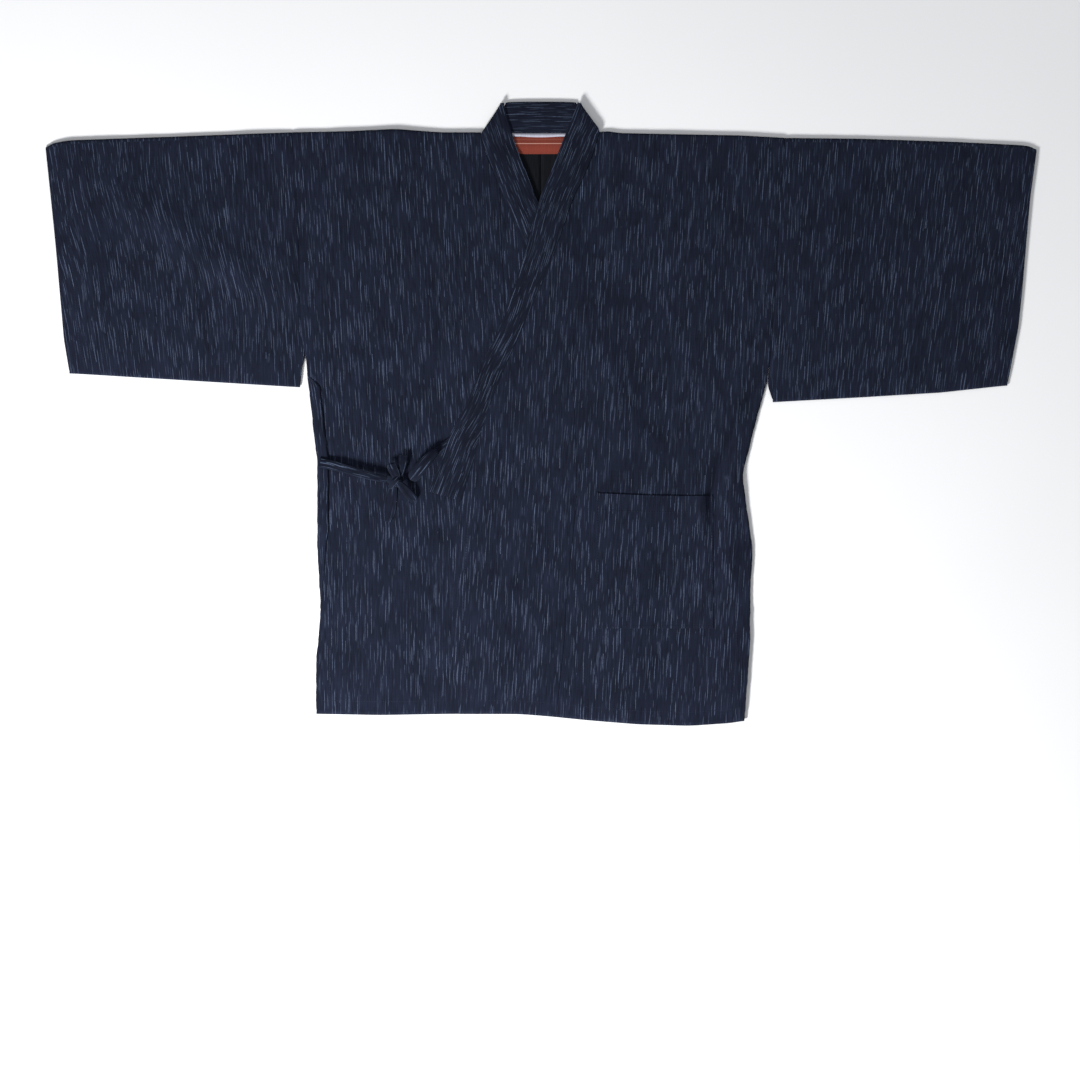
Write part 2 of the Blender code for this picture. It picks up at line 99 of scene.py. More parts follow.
TOP_RIGHT = dict(out=(311, 370, 476, 590, 612, 618.75), rise=(0, -2, -6, -10, -14, -20))
TOP_LEFT = dict(out=(304, 400, 520, 600, 614, 619), rise=(-7, -8, -12, -16, -18, -23))
FOOT_RIGHT = dict(out=(301, 589), rise=(-317.5, -300))
FOOT_LEFT = dict(out=(290, 400, 500, 582.5), rise=(-336, -330, -324, -315))
ARMHOLE_RIGHT = dict(down=(0, 110, 250, 277, 284, 292, 318), out=(311, 303, 300, 294.6, 295.5, 298.5, 301))
ARMHOLE_LEFT = dict(down=(7, 84, 210, 284, 315, 336), out=(304, 299, 292, 286, 283, 290))
CUFF_RIGHT = dict(down=(20, 146, 259, 300), out=(618.75, 606, 596, 589))
CUFF_LEFT = dict(down=(23, 84, 200, 246, 315), out=(619, 611, 601, 596, 582.5))

# A side stretch of neckband, from its tip behind the neck to its lower end.
BAND_LEFT = dict(
    free_x=(46.6, 44, 36, 27.5, 23.5, 12, -3, -15.5, -27.5, -49, -72.5, -92.5, -114, -140.6),
    free_y=(37, 31, 10, -10, -20.5, -50, -87.5, -134, -174, -237.5, -287.5, -337.5, -379, -448),
    seam_x=(49.2, 53, 64.5, 72.5, 70.0, 58, 38, 18, -2, -29, -52.5, -72.5, -86, -100),
    seam_y=(36.4, 30.5, 15, 3, -9, -44, -87, -147, -197.5, -257.5, -311, -365, -415, -460),
    height=(4.5, 4.6, 4.7, 4.8, 4.9, 5.4, 6.5, 6.5, 6.5, 6.5, 6.5, 6.5, 6.6, 7.2))
BAND_RIGHT = dict(
    free_x=(-47.4, -46, -40, -34, -30.2, -20, -4, 14, 27.5, 49, 72.5, 92.5, 114, 140.6),
    free_y=(37, 30, 10, -9, -19.5, -46, -87.5, -134, -174, -237.5, -287.5, -337.5, -379, -448),
    seam_x=(-50, -54, -66, -74, -73.2, -66, -47.5, -21, 2, 29, 52.5, 72.5, 86, 100),
    seam_y=(36.4, 29.5, 11.5, -1, -11, -33, -77, -136, -197.5, -257.5, -311, -365, -415, -460),
    height=(4.5, 4.5, 4.4, 4.2, 4.1, 3.9, 3.6, 3.5, 3.5, 3.5, 3.5, 3.5, 3.5, 3.5))
BAND_BACK_TOP_HALF, BAND_BACK_FOOT_HALF = 43.5, 61.0

POCKET = dict(left=69.0, right=215.0, top=-450.0, top_right=-453.5, foot=-619.0)
LABEL = dict(left=-36.0, right=31.0, top=-5.2, foot=-26.5, corner=13.0)
TAPE = dict(left=-36.0, right=33.0, top=-0.6, foot=-5.6)

# Creases: each a run of points, its half width, its depth (troughs below 0) and its lean
# (towards +1 the slope right of the run's direction is the steeper).
CREASES = (
    # the right sleeve's long soft ridge from the cuff's top corner, and what goes with it
    (((-556, -46), (-492, -101), (-444, -134), (-354, -190), (-316, -222)), 24, 2.3, 0.3),
    (((-520, -150), (-440, -196), (-360, -240)), 26, -1.1, 0.0),
    (((-585, -120), (-560, -200), (-545, -270)), 20, 0.9, 0.0),
    (((-470, -210), (-455, -290)), 18, 0.7, 0.0),
    (((-370, -40), (-352, -120)), 15, 0.8, 0.0),
    (((-410, -255), (-400, -305)), 14, -0.6, 0.0),
    # hollows along the right armhole
    (((-298, -95), (-296, -160), (-294, -226)), 9, -1.2, 0.3),
    (((-322, -130), (-320, -215)), 12, 0.9, 0.0),
    # right front
    (((-142, -70), (-130, -190), (-122, -271), (-119, -369), (-106, -450)), 9, -1.0, -0.2),
    (((-160, -120), (-146, -260)), 16, 0.9, 0.0),
    (((-250, -60), (-246, -190)), 15, 0.7, 0.0),
    (((-205, -30), (-198, -150), (-205, -240)), 13, -0.7, 0.0),
    (((-225, -300), (-214, -400)), 17, 0.8, 0.0),
    (((-229, -560), (-229, -712)), 11, -1.0, 0.0),
    (((-249, -466), (-251, -570)), 9, -0.9, 0.2),
    (((-168, -500), (-160, -640)), 15, 0.7, 0.0),
    (((-141, -560), (-138, -720)), 12, -0.6, 0.0),
    # left front and okumi
    (((7, -215), (4, -261), (-6, -281), (-19, -297), (-29, -329), (-41, -394), (-43, -460)), 13, -1.5, 0.3),
    (((24, -250), (10, -310), (-8, -390)), 15, 1.1, 0.0),
    (((-60, -500), (-66, -600), (-58, -700)), 16, 0.8, 0.0),
    (((-16, -520), (-22, -640), (-16, -716)), 13, -0.6, 0.0),
    (((121, -40), (121, -120)), 8, -1.0, 0.2),
    (((136, -60), (140, -190)), 14, 0.8, 0.0),
    (((78, -8), (75, -50), (70, -88)), 6, -1.2, 0.4),
    (((92, -20), (88, -100)), 11, 0.9, 0.0),
    (((130, -330), (130, -442)), 9, -0.6, 0.0),
    (((205, -60), (196, -200), (190, -290)), 18, 0.8, 0.0),
    (((90, -190), (84, -320)), 16, 0.6, 0.0),
    (((245, -130), (240, -240)), 13, -0.6, 0.0),
    # the deep fold down the left side, between two soft ridges
    (((294, -280), (256, -342), (236, -382), (220, -421), (212.5, -456), (212, -520)), 7, -2.6, 0.0),
    (((284, -286), (246, -348), (225, -389), (209, -426), (201, -460), (200, -530)), 12.5, 2.9, -0.6),
    (((258, -390), (242, -430), (234, -490), (236, -600)), 11, 1.9, 0.0),
    (((199, -590), (174, -629), (109, -656)), 13, -1.1, 0.2),
    (((214, -606), (190, -650), (130, -684)), 15, 1.0, 0.0),
    (((60, -650), (56, -726)), 12, -0.6, 0.0),
    (((232, -630), (228, -730)), 12, 0.8, 0.0),
    # left sleeve: smooth, with long low folds leaning towards the cuff's foot
    (((420, -40), (392, -150), (352, -300)), 22, 0.9, 0.0),
    (((470, -30), (450, -130)), 14, -0.5, 0.0),
    (((535, -50), (520, -180), (498, -300)), 22, 0.8, 0.0),
    (((585, -90), (570, -220)), 13, -0.6, 0.0),
    (((330, -60), (322, -180)), 12, 0.7, 0.0),
    (((305, -200), (300, -280)), 8, -0.7, 0.0),
)
# On the side that lies on the floor a crease can only lift the cloth.
BACK_CREASES = (
    (((-190, -120), (-176, -330)), 14, 0.5, 0.0),
    (((-90, -240), (-70, -520)), 17, 0.45, 0.0),
    (((60, -160), (84, -400)), 14, 0.5, 0.0),
    (((180, -300), (150, -560)), 18, 0.4, 0.0),
    (((-240, -430), (-214, -640)), 15, 0.5, 0.0),
    (((-520, -90), (-360, -200)), 18, 0.5, 0.0),
    (((540, -110), (400, -230)), 18, 0.45, 0.0),
)


# ---------------------------------------------------------------- the sizes and colours a user may change
def length_setting(name, description, default, low, high):
    return bpy.props.FloatProperty(name=name, description=description, default=default, min=low, max=high,
                                   unit="LENGTH")


def colour_setting(name, description, red, green, blue):
    return bpy.props.FloatVectorProperty(name=name, description=description, subtype="COLOR", size=4,
                                         default=(red, green, blue, 1.0), min=0.0, max=1.0)


def power_setting(name, description, default):
    return bpy.props.FloatProperty(name=name, description=description, default=default, min=0.0,
                                   unit="POWER")


class JinbeiCloth(bpy.types.PropertyGroup):
    """Walls, folds and colours of the cotton, label and ties."""
    wall: length_setting("Cloth wall", "Thickness of a panel", 0.0010, 0.0004, 0.003)
    band_wall: length_setting("Neckband wall", "Thickness of the doubled neckband", 0.0021, 0.001, 0.005)
    crease: bpy.props.FloatProperty(
        name="Crease depth", description="Scales every crease's depth", default=1.45, min=0.0, max=2.0)
    ripple: length_setting("Ripple", "Height of the cloth's soft unevenness", 0.00042, 0.0, 0.003)
    navy: colour_setting("Navy", "Ground colour of the cotton", 0.0079, 0.0105, 0.0221)
    # Reverse: the inner side of the cotton, with its fainter streaks, on a ground painted darker as the
    # shade that falls inside the neck opening.
    reverse: colour_setting("Reverse", "The cotton's darker inner side", 0.0050, 0.0056, 0.0078)
    streak: colour_setting("Streak", "Pale blue of the kasuri streaks", 0.096, 0.128, 0.202)
    label: colour_setting("Label", "Brick red of the blank label", 0.185, 0.033, 0.020)
    # Tape: the white tape's colour, painted grey-blue as the shade it lies in under the back neckband.
    tape: colour_setting("Tape", "White of the tape under the back neckband", 0.36, 0.36, 0.43)
    thread: colour_setting("Thread", "Sewing thread", 0.011, 0.013, 0.024)
    streak_pitch: length_setting("Streak spacing", "Between the warp lines that may carry a streak",
                                 0.0045, 0.001, 0.02)
    streak_width: length_setting("Streak width", "Width of a bright streak", 0.00084, 0.0003, 0.01)
    streak_length: length_setting("Streak length", "Longest run of a streak with the gap after it",
                                  0.050, 0.005, 0.2)
    stitch_pitch: length_setting("Stitch spacing", "From one stitch to the next", 0.0034, 0.001, 0.01)


class JinbeiStage(bpy.types.PropertyGroup):
    """Floor, lamps and camera."""
    floor: colour_setting("Floor", "Colour of the pale floor", 0.86, 0.86, 0.87)
    floor_size: length_setting("Floor size", "Side of the square floor", 9.0, 2.0, 50.0)
    camera_height: length_setting("Camera height", "Height of the camera above the floor", 3.2, 0.5, 20.0)
    view_width: length_setting("View width", "Width of floor that the camera sees", 1.35, 0.3, 9.0)
    key_energy: power_setting("Key light", "Power of the lamp beyond the hem's right corner", 112.0)
    fill_energy: power_setting("Fill light", "Power of the wide lamp overhead", 20.0)
    sky: bpy.props.FloatProperty(
        name="Sky", description="Strength of the even light from all round", default=0.31, min=0.0)


# ---------------------------------------------------------------- reading tables and shaping cloth
def read(table, value, soften=0.0):
    """A table's second column over its first; soften rounds its corners over that reach."""
    first, second = (np.asarray(column, float) for column in table.values())
    if not soften:
        return np.interp(value, first, second)
    steps = np.linspace(-soften, soften, 7)
    return sum(np.interp(np.asarray(value) + step, first, second) for step in steps) / len(steps)


def smooth(value):
    value = np.clip(value, 0.0, 1.0)
    return value * value * (3 - 2 * value)


def curve_through(values, steps):
    """Catmull-Rom curve through a column of values, with that many steps between two of them."""
    values = np.asarray(values, float)
    padded = np.concatenate(([2 * values[0] - values[1]], values, [2 * values[-1] - values[-2]]))
    out = []
    for index in range(len(values) - 1):
        a, b, c, d = padded[index:index + 4]
        t = np.arange(steps) / steps
        out.append(0.5 * (2 * b + (c - a) * t + (2 * a - 5 * b + 4 * c - d) * t ** 2
                          + (3 * b - a - 3 * c + d) * t ** 3))
    return np.append(np.concatenate(out), values[-1])


def crease_height(creases, x, y):
    """Sum of the creases at the points: each falls off to its sides and fades towards both its ends."""
    height = np.zeros_like(x)
    for points, half_width, depth, lean in creases:
        points = np.asarray(points, float)
        runs = np.diff(points, axis=0)
        lengths = np.hypot(runs[:, 0], runs[:, 1])
        total, walked = lengths.sum(), 0.0
        nearest = np.full(x.shape, 1e9)
        side, travel = np.zeros_like(x), np.zeros_like(x)
        for start, run, length in zip(points, runs, lengths):
            dx, dy = x - start[0], y - start[1]
            share = np.clip((dx * run[0] + dy * run[1]) / length ** 2, 0, 1)
            away = np.hypot(dx - run[0] * share, dy - run[1] * share)
            closer = away < nearest
            nearest = np.where(closer, away, nearest)
            side = np.where(closer, np.sign(dx * run[1] - dy * run[0]), side)
            travel = np.where(closer, walked + share * length, travel)
            walked += length
        fade = smooth(travel / (0.28 * total)) * smooth((total - travel) / (0.28 * total))
        width = half_width * (1 - 0.5 * lean * side)
        height += depth * np.exp(-(nearest / width) ** 2) * fade
    return height


def ripple(x, y, seed, stretch=2.6):
    """Soft unevenness from -1 to 1: crossing swells, longer down the warp than across it."""
    rng = np.random.default_rng(seed)
    total = np.zeros_like(x)
    for _ in range(22):
        span = 34 + 120 * rng.random()
        angle = rng.normal(0.0, 0.55)
        wave_x, wave_y = math.cos(angle) / span, math.sin(angle) / (span / stretch) / stretch ** 2
        total += np.sin(2 * math.pi * (x * wave_x + y * wave_y) + rng.random() * 6.28) * (span / 150)
    return total / 5.0


def relief(x, y, cloth):
    """What stands up from, or sinks into, every layer of the jacket's front at a place."""
    height = crease_height(CREASES, x, y) * cloth.crease + ripple(x, y, 11) * cloth.ripple / MM
    return np.where(height < -0.9, -0.9 + 0.55 * np.tanh((height + 0.9) / 0.55), height)


def spot(across, down, shoulder, shorter=0.0):
    """y of a row's point from its nominal drop."""
    across, down = np.asarray(across, float), np.asarray(down, float)
    rise = read(shoulder, np.abs(across), 6)
    upper = rise * np.clip(1 - down / RISE_REACH, 0, None) - down
    drop = read(HEM, across, 10) - shorter
    lower = -LEVEL - (down - LEVEL) * (drop - LEVEL) / (LENGTH - LEVEL)
    return np.where(down > LEVEL, lower, upper)


def right_height(x, y, cloth):
    """Middle of the right front's wall."""
    side = np.abs(x) - read(SIDE_RIGHT, -y, 8)
    hem = read(HEM, x, 10) + y
    settle = 1.0 * (1 - smooth(hem / 26)) + 0.8 * (1 - smooth(-side / 20)) * smooth((-y - 560) / 60)
    return Z_FRONT + relief(x, y, cloth) - settle


def left_height(x, y, cloth):
    """Middle of the left front's wall, which climbs over the hidden part of the right front."""
    over = smooth((read(UNDERLAP, -y, 20) + 50 - x) / 46) * smooth((-y - 20) / 60)
    hem = read(HEM, x, 10) + y
    edge = x - read(FRONT_EDGE, -y, 8)
    settle = 1.1 * (1 - smooth(hem / 26)) + 1.0 * (1 - smooth(edge / 22)) * smooth((-y - 450) / 20)
    return Z_FRONT + (Z_OVER - Z_FRONT) * over + relief(x, y, cloth) - settle


def back_height(x, y):
    return Z_BACK + np.clip(crease_height(BACK_CREASES, x, y), 0, None)


def seam_dip(distance, depth=0.7, reach=2.4):
    """How far the cloth turns down beside a seam."""
    return -depth * np.exp(-(np.asarray(distance) / reach) ** 2)


def shares(width, step, edge=(0.0, 0.9, 2.0, 3.6, 6.0, 9.0)):
    """Column places from 0 to 1 over a width, closer together beside both edges."""
    inner = np.linspace(edge[-1], width - edge[-1], max(3, int(width / step)))
    places = np.concatenate((edge[:-1], inner, width - np.asarray(edge[:-1])[::-1]))
    return places / width


def warp_out(side, x, y):
    """Cloth place across the warp on the fronts: the warp leans in towards the middle on its way down."""
    down = np.clip(-np.asarray(y, float), 0, None)
    if side < 0:
        return x - 0.058 * np.minimum(down, 500)
    return x + 0.052 * down


def grid_of(x, y, z, u=None, v=None):
    """A grid of points with the cloth's own coordinates: u across the warp and v along it."""
    x, y, z = np.broadcast_arrays(*(np.asarray(value, float) for value in (x, y, z)))
    return dict(x=x, y=y, z=z, u=x if u is None else u, v=y if v is None else v)


def weld(name, grids, materials, join, closed=False):
    """Grids of points as one smooth mesh with a cloth map, welded where they meet within that distance."""
    verts, faces, cloth_map = [], [], []
    for grid in grids:
        rows, columns = grid["x"].shape
        index = len(verts) + np.arange(rows * columns).reshape(rows, columns)
        verts += list(zip(grid["x"].ravel() * MM + ORIGIN_X, grid["y"].ravel() * MM + ORIGIN_Y,
                          grid["z"].ravel() * MM))
        cloth_map += list(zip((grid["u"] * MM).ravel(), (grid["v"] * MM).ravel()))
        faces += np.stack((index[:-1, :-1], index[:-1, 1:], index[1:, 1:], index[1:, :-1]),
                          axis=-1).reshape(-1, 4).tolist()
        if closed:
            faces += [index[0, :-1][::-1].tolist(), index[-1, :-1].tolist()]
    mesh = bpy.data.meshes.new(name)
    mesh.from_pydata(verts, [], faces)
    layer = mesh.uv_layers.new(name="cloth")
    corner = np.empty(len(mesh.loops), int)
    mesh.loops.foreach_get("vertex_index", corner)
    layer.data.foreach_set("uv", np.asarray(cloth_map)[corner].astype(np.float32).ravel())
    shape = bmesh.new()
    shape.from_mesh(mesh)
    bmesh.ops.remove_doubles(shape, verts=shape.verts, dist=join)
    bmesh.ops.recalc_face_normals(shape, faces=shape.faces)
    top = max(shape.faces, key=lambda face: face.calc_center_median().z)
    if not closed and top.normal.z < 0:
        bmesh.ops.reverse_faces(shape, faces=shape.faces)
    shape.to_mesh(mesh)
    shape.free()
    return show(name, mesh, materials)


def show(name, mesh, materials):
    """A mesh as a smooth piece of the scene."""
    for material in materials:
        mesh.materials.append(material)
    mesh.shade_smooth()
    piece = bpy.data.objects.new(name, mesh)
    bpy.context.scene.collection.objects.link(piece)
    return piece


def sew(name, grids, wall, materials, rim=None):
    """A sheet of cloth with its wall; rim rounds the edges of the wall."""
    piece = weld(name, grids, materials, 0.02 * MM)
    solid = piece.modifiers.new("wall", "SOLIDIFY")
    solid.thickness = wall
    solid.offset = 0.0
    solid.use_even_offset = True
    # The wall's other face takes the last material: on the cotton that is the reverse, whose ground is
    # painted dark as shade.
    solid.material_offset = len(materials) - 1
    if rim:
        soft = piece.modifiers.new("rim", "BEVEL")
        soft.width = rim
        soft.segments = 2
        soft.limit_method = "ANGLE"
        soft.angle_limit = math.radians(50)
    return piece


def place_piece(piece, slot, *nodes):
    """A piece on the jacket's one body, in the place of the CAD's own."""
    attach(piece, "root")
    if nodes:
        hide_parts(*nodes)
    return piece


# ---------------------------------------------------------------- shader node groups
def group_sockets(group, inputs, outputs):
    for name, kind, default in inputs:
        socket = group.interface.new_socket(name, in_out="INPUT", socket_type=kind)
        if default is not None:
            socket.default_value = default
    for name, kind in outputs:
        group.interface.new_socket(name, in_out="OUTPUT", socket_type=kind)
    return group.nodes.new("NodeGroupInput"), group.nodes.new("NodeGroupOutput")


class Wires:
    """Short hand for adding and linking nodes in one tree."""

    def __init__(self, tree):
        self.tree = tree

    def feed(self, socket, value):
        if isinstance(value, bpy.types.NodeSocket):
            self.tree.links.new(value, socket)
        else:
            socket.default_value = value

    def math(self, operation, *values):
        node = self.tree.nodes.new("ShaderNodeMath")
        node.operation = operation
        for socket, value in zip(node.inputs, values):
            self.feed(socket, value)
        return node.outputs[0]

    def plus(self, a, b):
        return self.math("ADD", a, b)

    def minus(self, a, b):
        return self.math("SUBTRACT", a, b)

    def times(self, a, b):
        return self.math("MULTIPLY", a, b)

    def over(self, a, b):
        return self.math("DIVIDE", a, b)

    def ramp(self, value, low, high, to_low=0.0, to_high=1.0):
        node = self.tree.nodes.new("ShaderNodeMapRange")
        node.interpolation_type = "SMOOTHSTEP"
        for name, item in (("Value", value), ("From Min", low), ("From Max", high),
                           ("To Min", to_low), ("To Max", to_high)):
            self.feed(node.inputs[name], item)
        return node.outputs["Result"]

    def chance(self, x, y):
        node = self.tree.nodes.new("ShaderNodeTexWhiteNoise")
        node.noise_dimensions = "2D"
        self.feed(node.inputs["Vector"], self.vector(x, y))
        return node.outputs["Value"], node.outputs["Color"]

    def vector(self, x, y, z=0.0):
        node = self.tree.nodes.new("ShaderNodeCombineXYZ")
        for socket, value in zip(node.inputs, (x, y, z)):
            self.feed(socket, value)
        return node.outputs[0]

    def split(self, vector):
        node = self.tree.nodes.new("ShaderNodeSeparateXYZ")
        self.feed(node.inputs[0], vector)
        return node.outputs

    def noise(self, vector, scale=1.0, detail=2.0, roughness=0.5):
        node = self.tree.nodes.new("ShaderNodeTexNoise")
        settings = {"Vector": vector, "Scale": scale, "Detail": detail, "Roughness": roughness}
        for name, item in settings.items():
            self.feed(node.inputs[name], item)
        return node.outputs["Fac"]

    def grain(self, u, v, across, along, detail=2.0, roughness=0.5, depth=0.0):
        """Noise with so many grains to a metre across and along the warp."""
        place = self.vector(self.times(u, across), self.times(v, along), depth)
        return self.noise(place, 1.0, detail, roughness)

    def blend(self, factor, a, b, mode="MIX"):
        node = self.tree.nodes.new("ShaderNodeMix")
        node.data_type = "RGBA"
        node.blend_type = mode
        self.feed(node.inputs[0], factor)
        self.feed(node.inputs[6], a)
        self.feed(node.inputs[7], b)
        return node.outputs[2]


def kasuri_group():
    """Broken streaks along the warp: each warp line has its own chance, start, length and strength."""
    group = bpy.data.node_groups.new("kasuri_streaks", "ShaderNodeTree")
    entry, exit_node = group_sockets(
        group,
        [("Cloth", "NodeSocketVector", None), ("Pitch", "NodeSocketFloat", 0.0036),
         ("Length", "NodeSocketFloat", 0.044), ("Half Width", "NodeSocketFloat", 0.0005),
         ("Share", "NodeSocketFloat", 0.45), ("Seed", "NodeSocketFloat", 0.0)],
        [("Mask", "NodeSocketFloat")])
    w = Wires(group)
    cloth = entry.outputs
    u, v, _ = w.split(cloth["Cloth"])
    drift = w.grain(u, v, 70.0, 30.0)
    u = w.plus(u, w.times(w.minus(drift, 0.5), 0.0026))
    line = w.over(u, cloth["Pitch"])
    number = w.plus(w.math("FLOOR", line), cloth["Seed"])
    start, _ = w.chance(number, 3.1)
    run = w.plus(w.over(v, cloth["Length"]), w.times(start, 17.3))
    cell = w.math("FLOOR", run)
    present, colour = w.chance(number, w.plus(cell, 0.37))
    first, second, third = w.split(colour)
    off = w.times(w.minus(first, 0.5), 0.55)
    across = w.math("ABSOLUTE", w.minus(w.minus(w.math("FRACT", line), 0.5), off))
    width = w.over(cloth["Half Width"], cloth["Pitch"])
    across = w.ramp(across, width, w.times(width, 0.15))
    begins = w.times(second, 0.25)
    ends = w.plus(begins, w.plus(0.30, w.times(third, 0.45)))
    travel = w.math("FRACT", run)
    inside = w.math("MINIMUM", w.minus(travel, begins), w.minus(ends, travel))
    along = w.ramp(inside, 0.0, 0.16)
    clump = w.grain(u, v, 22.0, 16.0, 1.0, depth=cloth["Seed"])
    likely = w.times(cloth["Share"], w.ramp(clump, 0.28, 0.72, 0.52, 1.45))
    shown = w.math("LESS_THAN", present, likely)
    strength = w.plus(0.32, w.times(w.math("POWER", third, 1.4), 0.68))
    slub = w.grain(u, v, 900.0, 330.0, 1.0)
    strength = w.times(strength, w.ramp(slub, 0.2, 0.65, 0.45, 1.1))
    mask = w.times(w.times(across, along), w.times(shown, strength))
    group.links.new(mask, exit_node.inputs["Mask"])
    return group


def weave_group():
    """Plain weave: its height, a thread-by-thread tint, and the soft crumple of washed cotton."""
    group = bpy.data.node_groups.new("plain_weave", "ShaderNodeTree")
    entry, exit_node = group_sockets(
        group,
        [("Cloth", "NodeSocketVector", None), ("Thread", "NodeSocketFloat", 0.0007),
         ("Crumple", "NodeSocketFloat", 1.0)],
        [("Height", "NodeSocketFloat"), ("Tint", "NodeSocketFloat"), ("Fuzz", "NodeSocketFloat")])
    w = Wires(group)
    cloth = entry.outputs
    u, v, _ = w.split(cloth["Cloth"])
    turn = w.over(2 * math.pi, w.times(cloth["Thread"], 2.0))
    over = w.times(w.math("SINE", w.times(u, turn)), w.math("SINE", w.times(v, turn)))
    warp = w.grain(u, v, 640.0, 34.0, 3.0, 0.6)
    weft = w.grain(u, v, 22.0, 900.0, 2.0, 0.6)
    patch = w.grain(u, v, 34.0, 22.0, 3.0, 0.55)
    tint = w.plus(w.times(w.minus(warp, 0.5), 1.9), w.times(w.minus(weft, 0.5), 0.6))
    tint = w.plus(tint, w.times(w.minus(patch, 0.5), 0.9))
    crumple = w.grain(u, v, 95.0, 46.0, 4.0, 0.55)
    fine = w.plus(w.times(over, 0.03), w.times(warp, 0.16))
    height = w.plus(fine, w.times(w.times(crumple, 0.85), cloth["Crumple"]))
    group.links.new(height, exit_node.inputs["Height"])
    group.links.new(w.plus(tint, 1.0), exit_node.inputs["Tint"])
    group.links.new(w.ramp(weft, 0.25, 0.75, 0.80, 0.97), exit_node.inputs["Fuzz"])
    return group


def node_group(name, maker):
    return bpy.data.node_groups.get(name) or maker()


def add_group(tree, group, **values):
    node = tree.nodes.new("ShaderNodeGroup")
    node.node_tree = group
    for name, value in values.items():
        socket = node.inputs[name.replace("_", " ")]
        if isinstance(value, bpy.types.NodeSocket):
            tree.links.new(value, socket)
        else:
            socket.default_value = value
    return node


def start_material(name):
    material = bpy.data.materials.new(name)
    material.use_nodes = True
    tree = material.node_tree
    shader = tree.nodes["Principled BSDF"]
    shader.inputs["Metallic"].default_value = 0.0
    shader.inputs["Specular IOR Level"].default_value = 0.08
    cloth = tree.nodes.new("ShaderNodeUVMap")
    cloth.uv_map = "cloth"
    return material, tree, shader, cloth.outputs["UV"]


def bump(tree, shader, height, distance, strength=1.0):
    node = tree.nodes.new("ShaderNodeBump")
    node.inputs["Strength"].default_value = strength
    node.inputs["Distance"].default_value = distance
    tree.links.new(height, node.inputs["Height"])
    tree.links.new(node.outputs["Normal"], shader.inputs["Normal"])


def kasuri_material(name, cloth, ground, strength=1.0, share=1.0, crumple=1.0, seed=0.0):
    """Navy cotton with four sets of pale streaks along the warp, from sharp to broad and faint."""
    material = bpy.data.materials.get(name)
    if material:
        return material
    material, tree, shader, place = start_material(name)
    w = Wires(tree)
    streaks = node_group("kasuri_streaks", kasuri_group)
    pitch, length, half = cloth.streak_pitch, cloth.streak_length, cloth.streak_width / 2
    # Each set's spacing, length and width over the first one's, then its share, strength and seed.
    sets = ((1.0, 1.0, 1.0, 0.60, 1.0, 0.0), (0.71, 0.70, 0.95, 0.56, 0.74, 57.0),
            (0.83, 1.25, 0.85, 0.52, 0.46, 91.0), (1.9, 1.1, 3.2, 0.55, 0.11, 23.0))
    mask = None
    for pitch_by, length_by, width_by, likely, level, shift in sets:
        part = add_group(tree, streaks, Cloth=place, Pitch=pitch * pitch_by, Length=length * length_by,
                         Half_Width=half * width_by, Share=likely * share, Seed=seed + shift)
        part = w.times(part.outputs["Mask"], level * strength)
        mask = part if mask is None else w.math("MAXIMUM", mask, part)
    weave = add_group(tree, node_group("plain_weave", weave_group), Cloth=place, Crumple=crumple)
    navy = w.blend(1.0, tuple(ground), weave.outputs["Tint"], "MULTIPLY")
    colour = w.blend(mask, navy, tuple(cloth.streak))
    tree.links.new(colour, shader.inputs["Base Color"])
    tree.links.new(weave.outputs["Fuzz"], shader.inputs["Roughness"])
    shader.inputs["Sheen Weight"].default_value = 0.03
    shader.inputs["Sheen Roughness"].default_value = 0.45
    shader.inputs["Sheen Tint"].default_value = (0.55, 0.65, 0.95, 1.0)
    bump(tree, shader, weave.outputs["Height"], 0.0011, 0.55)
    return material


def front_material(cloth):
    return kasuri_material("kasuri_face", cloth, cloth.navy)


def reverse_shade_material(cloth):
    # The inner side: the real reverse's faint streaks, on a ground painted dark as the shade inside the
    # neck.
    return kasuri_material("kasuri_reverse_painted_shade", cloth, cloth.reverse, strength=0.10, share=0.7, seed=9.0)


def both_sides(cloth):
    return front_material(cloth), reverse_shade_material(cloth)


def band_material(cloth):
    ground = [channel * 0.80 for channel in cloth.navy[:3]] + [1.0]
    return kasuri_material("kasuri_band", cloth, ground, strength=0.9, share=1.45, crumple=0.6, seed=21.0)


def label_material(cloth):
    """Brick-red ribbed weave with one thin pale line under its top edge."""
    material, tree, shader, place = start_material("label_weave")
    w = Wires(tree)
    weave = add_group(tree, node_group("plain_weave", weave_group), Cloth=place, Thread=0.0004,
                      Crumple=0.25)
    _, v, _ = w.split(place)
    top = LABEL["top"] * MM
    line = w.times(w.ramp(v, top - 0.0092, top - 0.0087), w.ramp(v, top - 0.0076, top - 0.0081))
    hemline = w.times(w.ramp(v, top - 0.0042, top - 0.0038), w.ramp(v, top - 0.0030, top - 0.0034))
    tint = w.plus(w.times(weave.outputs["Tint"], 0.22), 0.78)
    base = w.blend(1.0, tuple(cloth.label), tint, "MULTIPLY")
    base = w.blend(w.times(hemline, 0.25), base, (0.42, 0.17, 0.12, 1.0))
    base = w.blend(w.times(line, 0.75), base, (0.60, 0.33, 0.27, 1.0))
    rib = w.math("SINE", w.times(v, 2 * math.pi / 0.0008))
    tree.links.new(base, shader.inputs["Base Color"])
    shader.inputs["Roughness"].default_value = 0.62
    shader.inputs["Sheen Weight"].default_value = 0.2
    bump(tree, shader, w.plus(rib, weave.outputs["Height"]), 0.00012, 0.4)
    return material


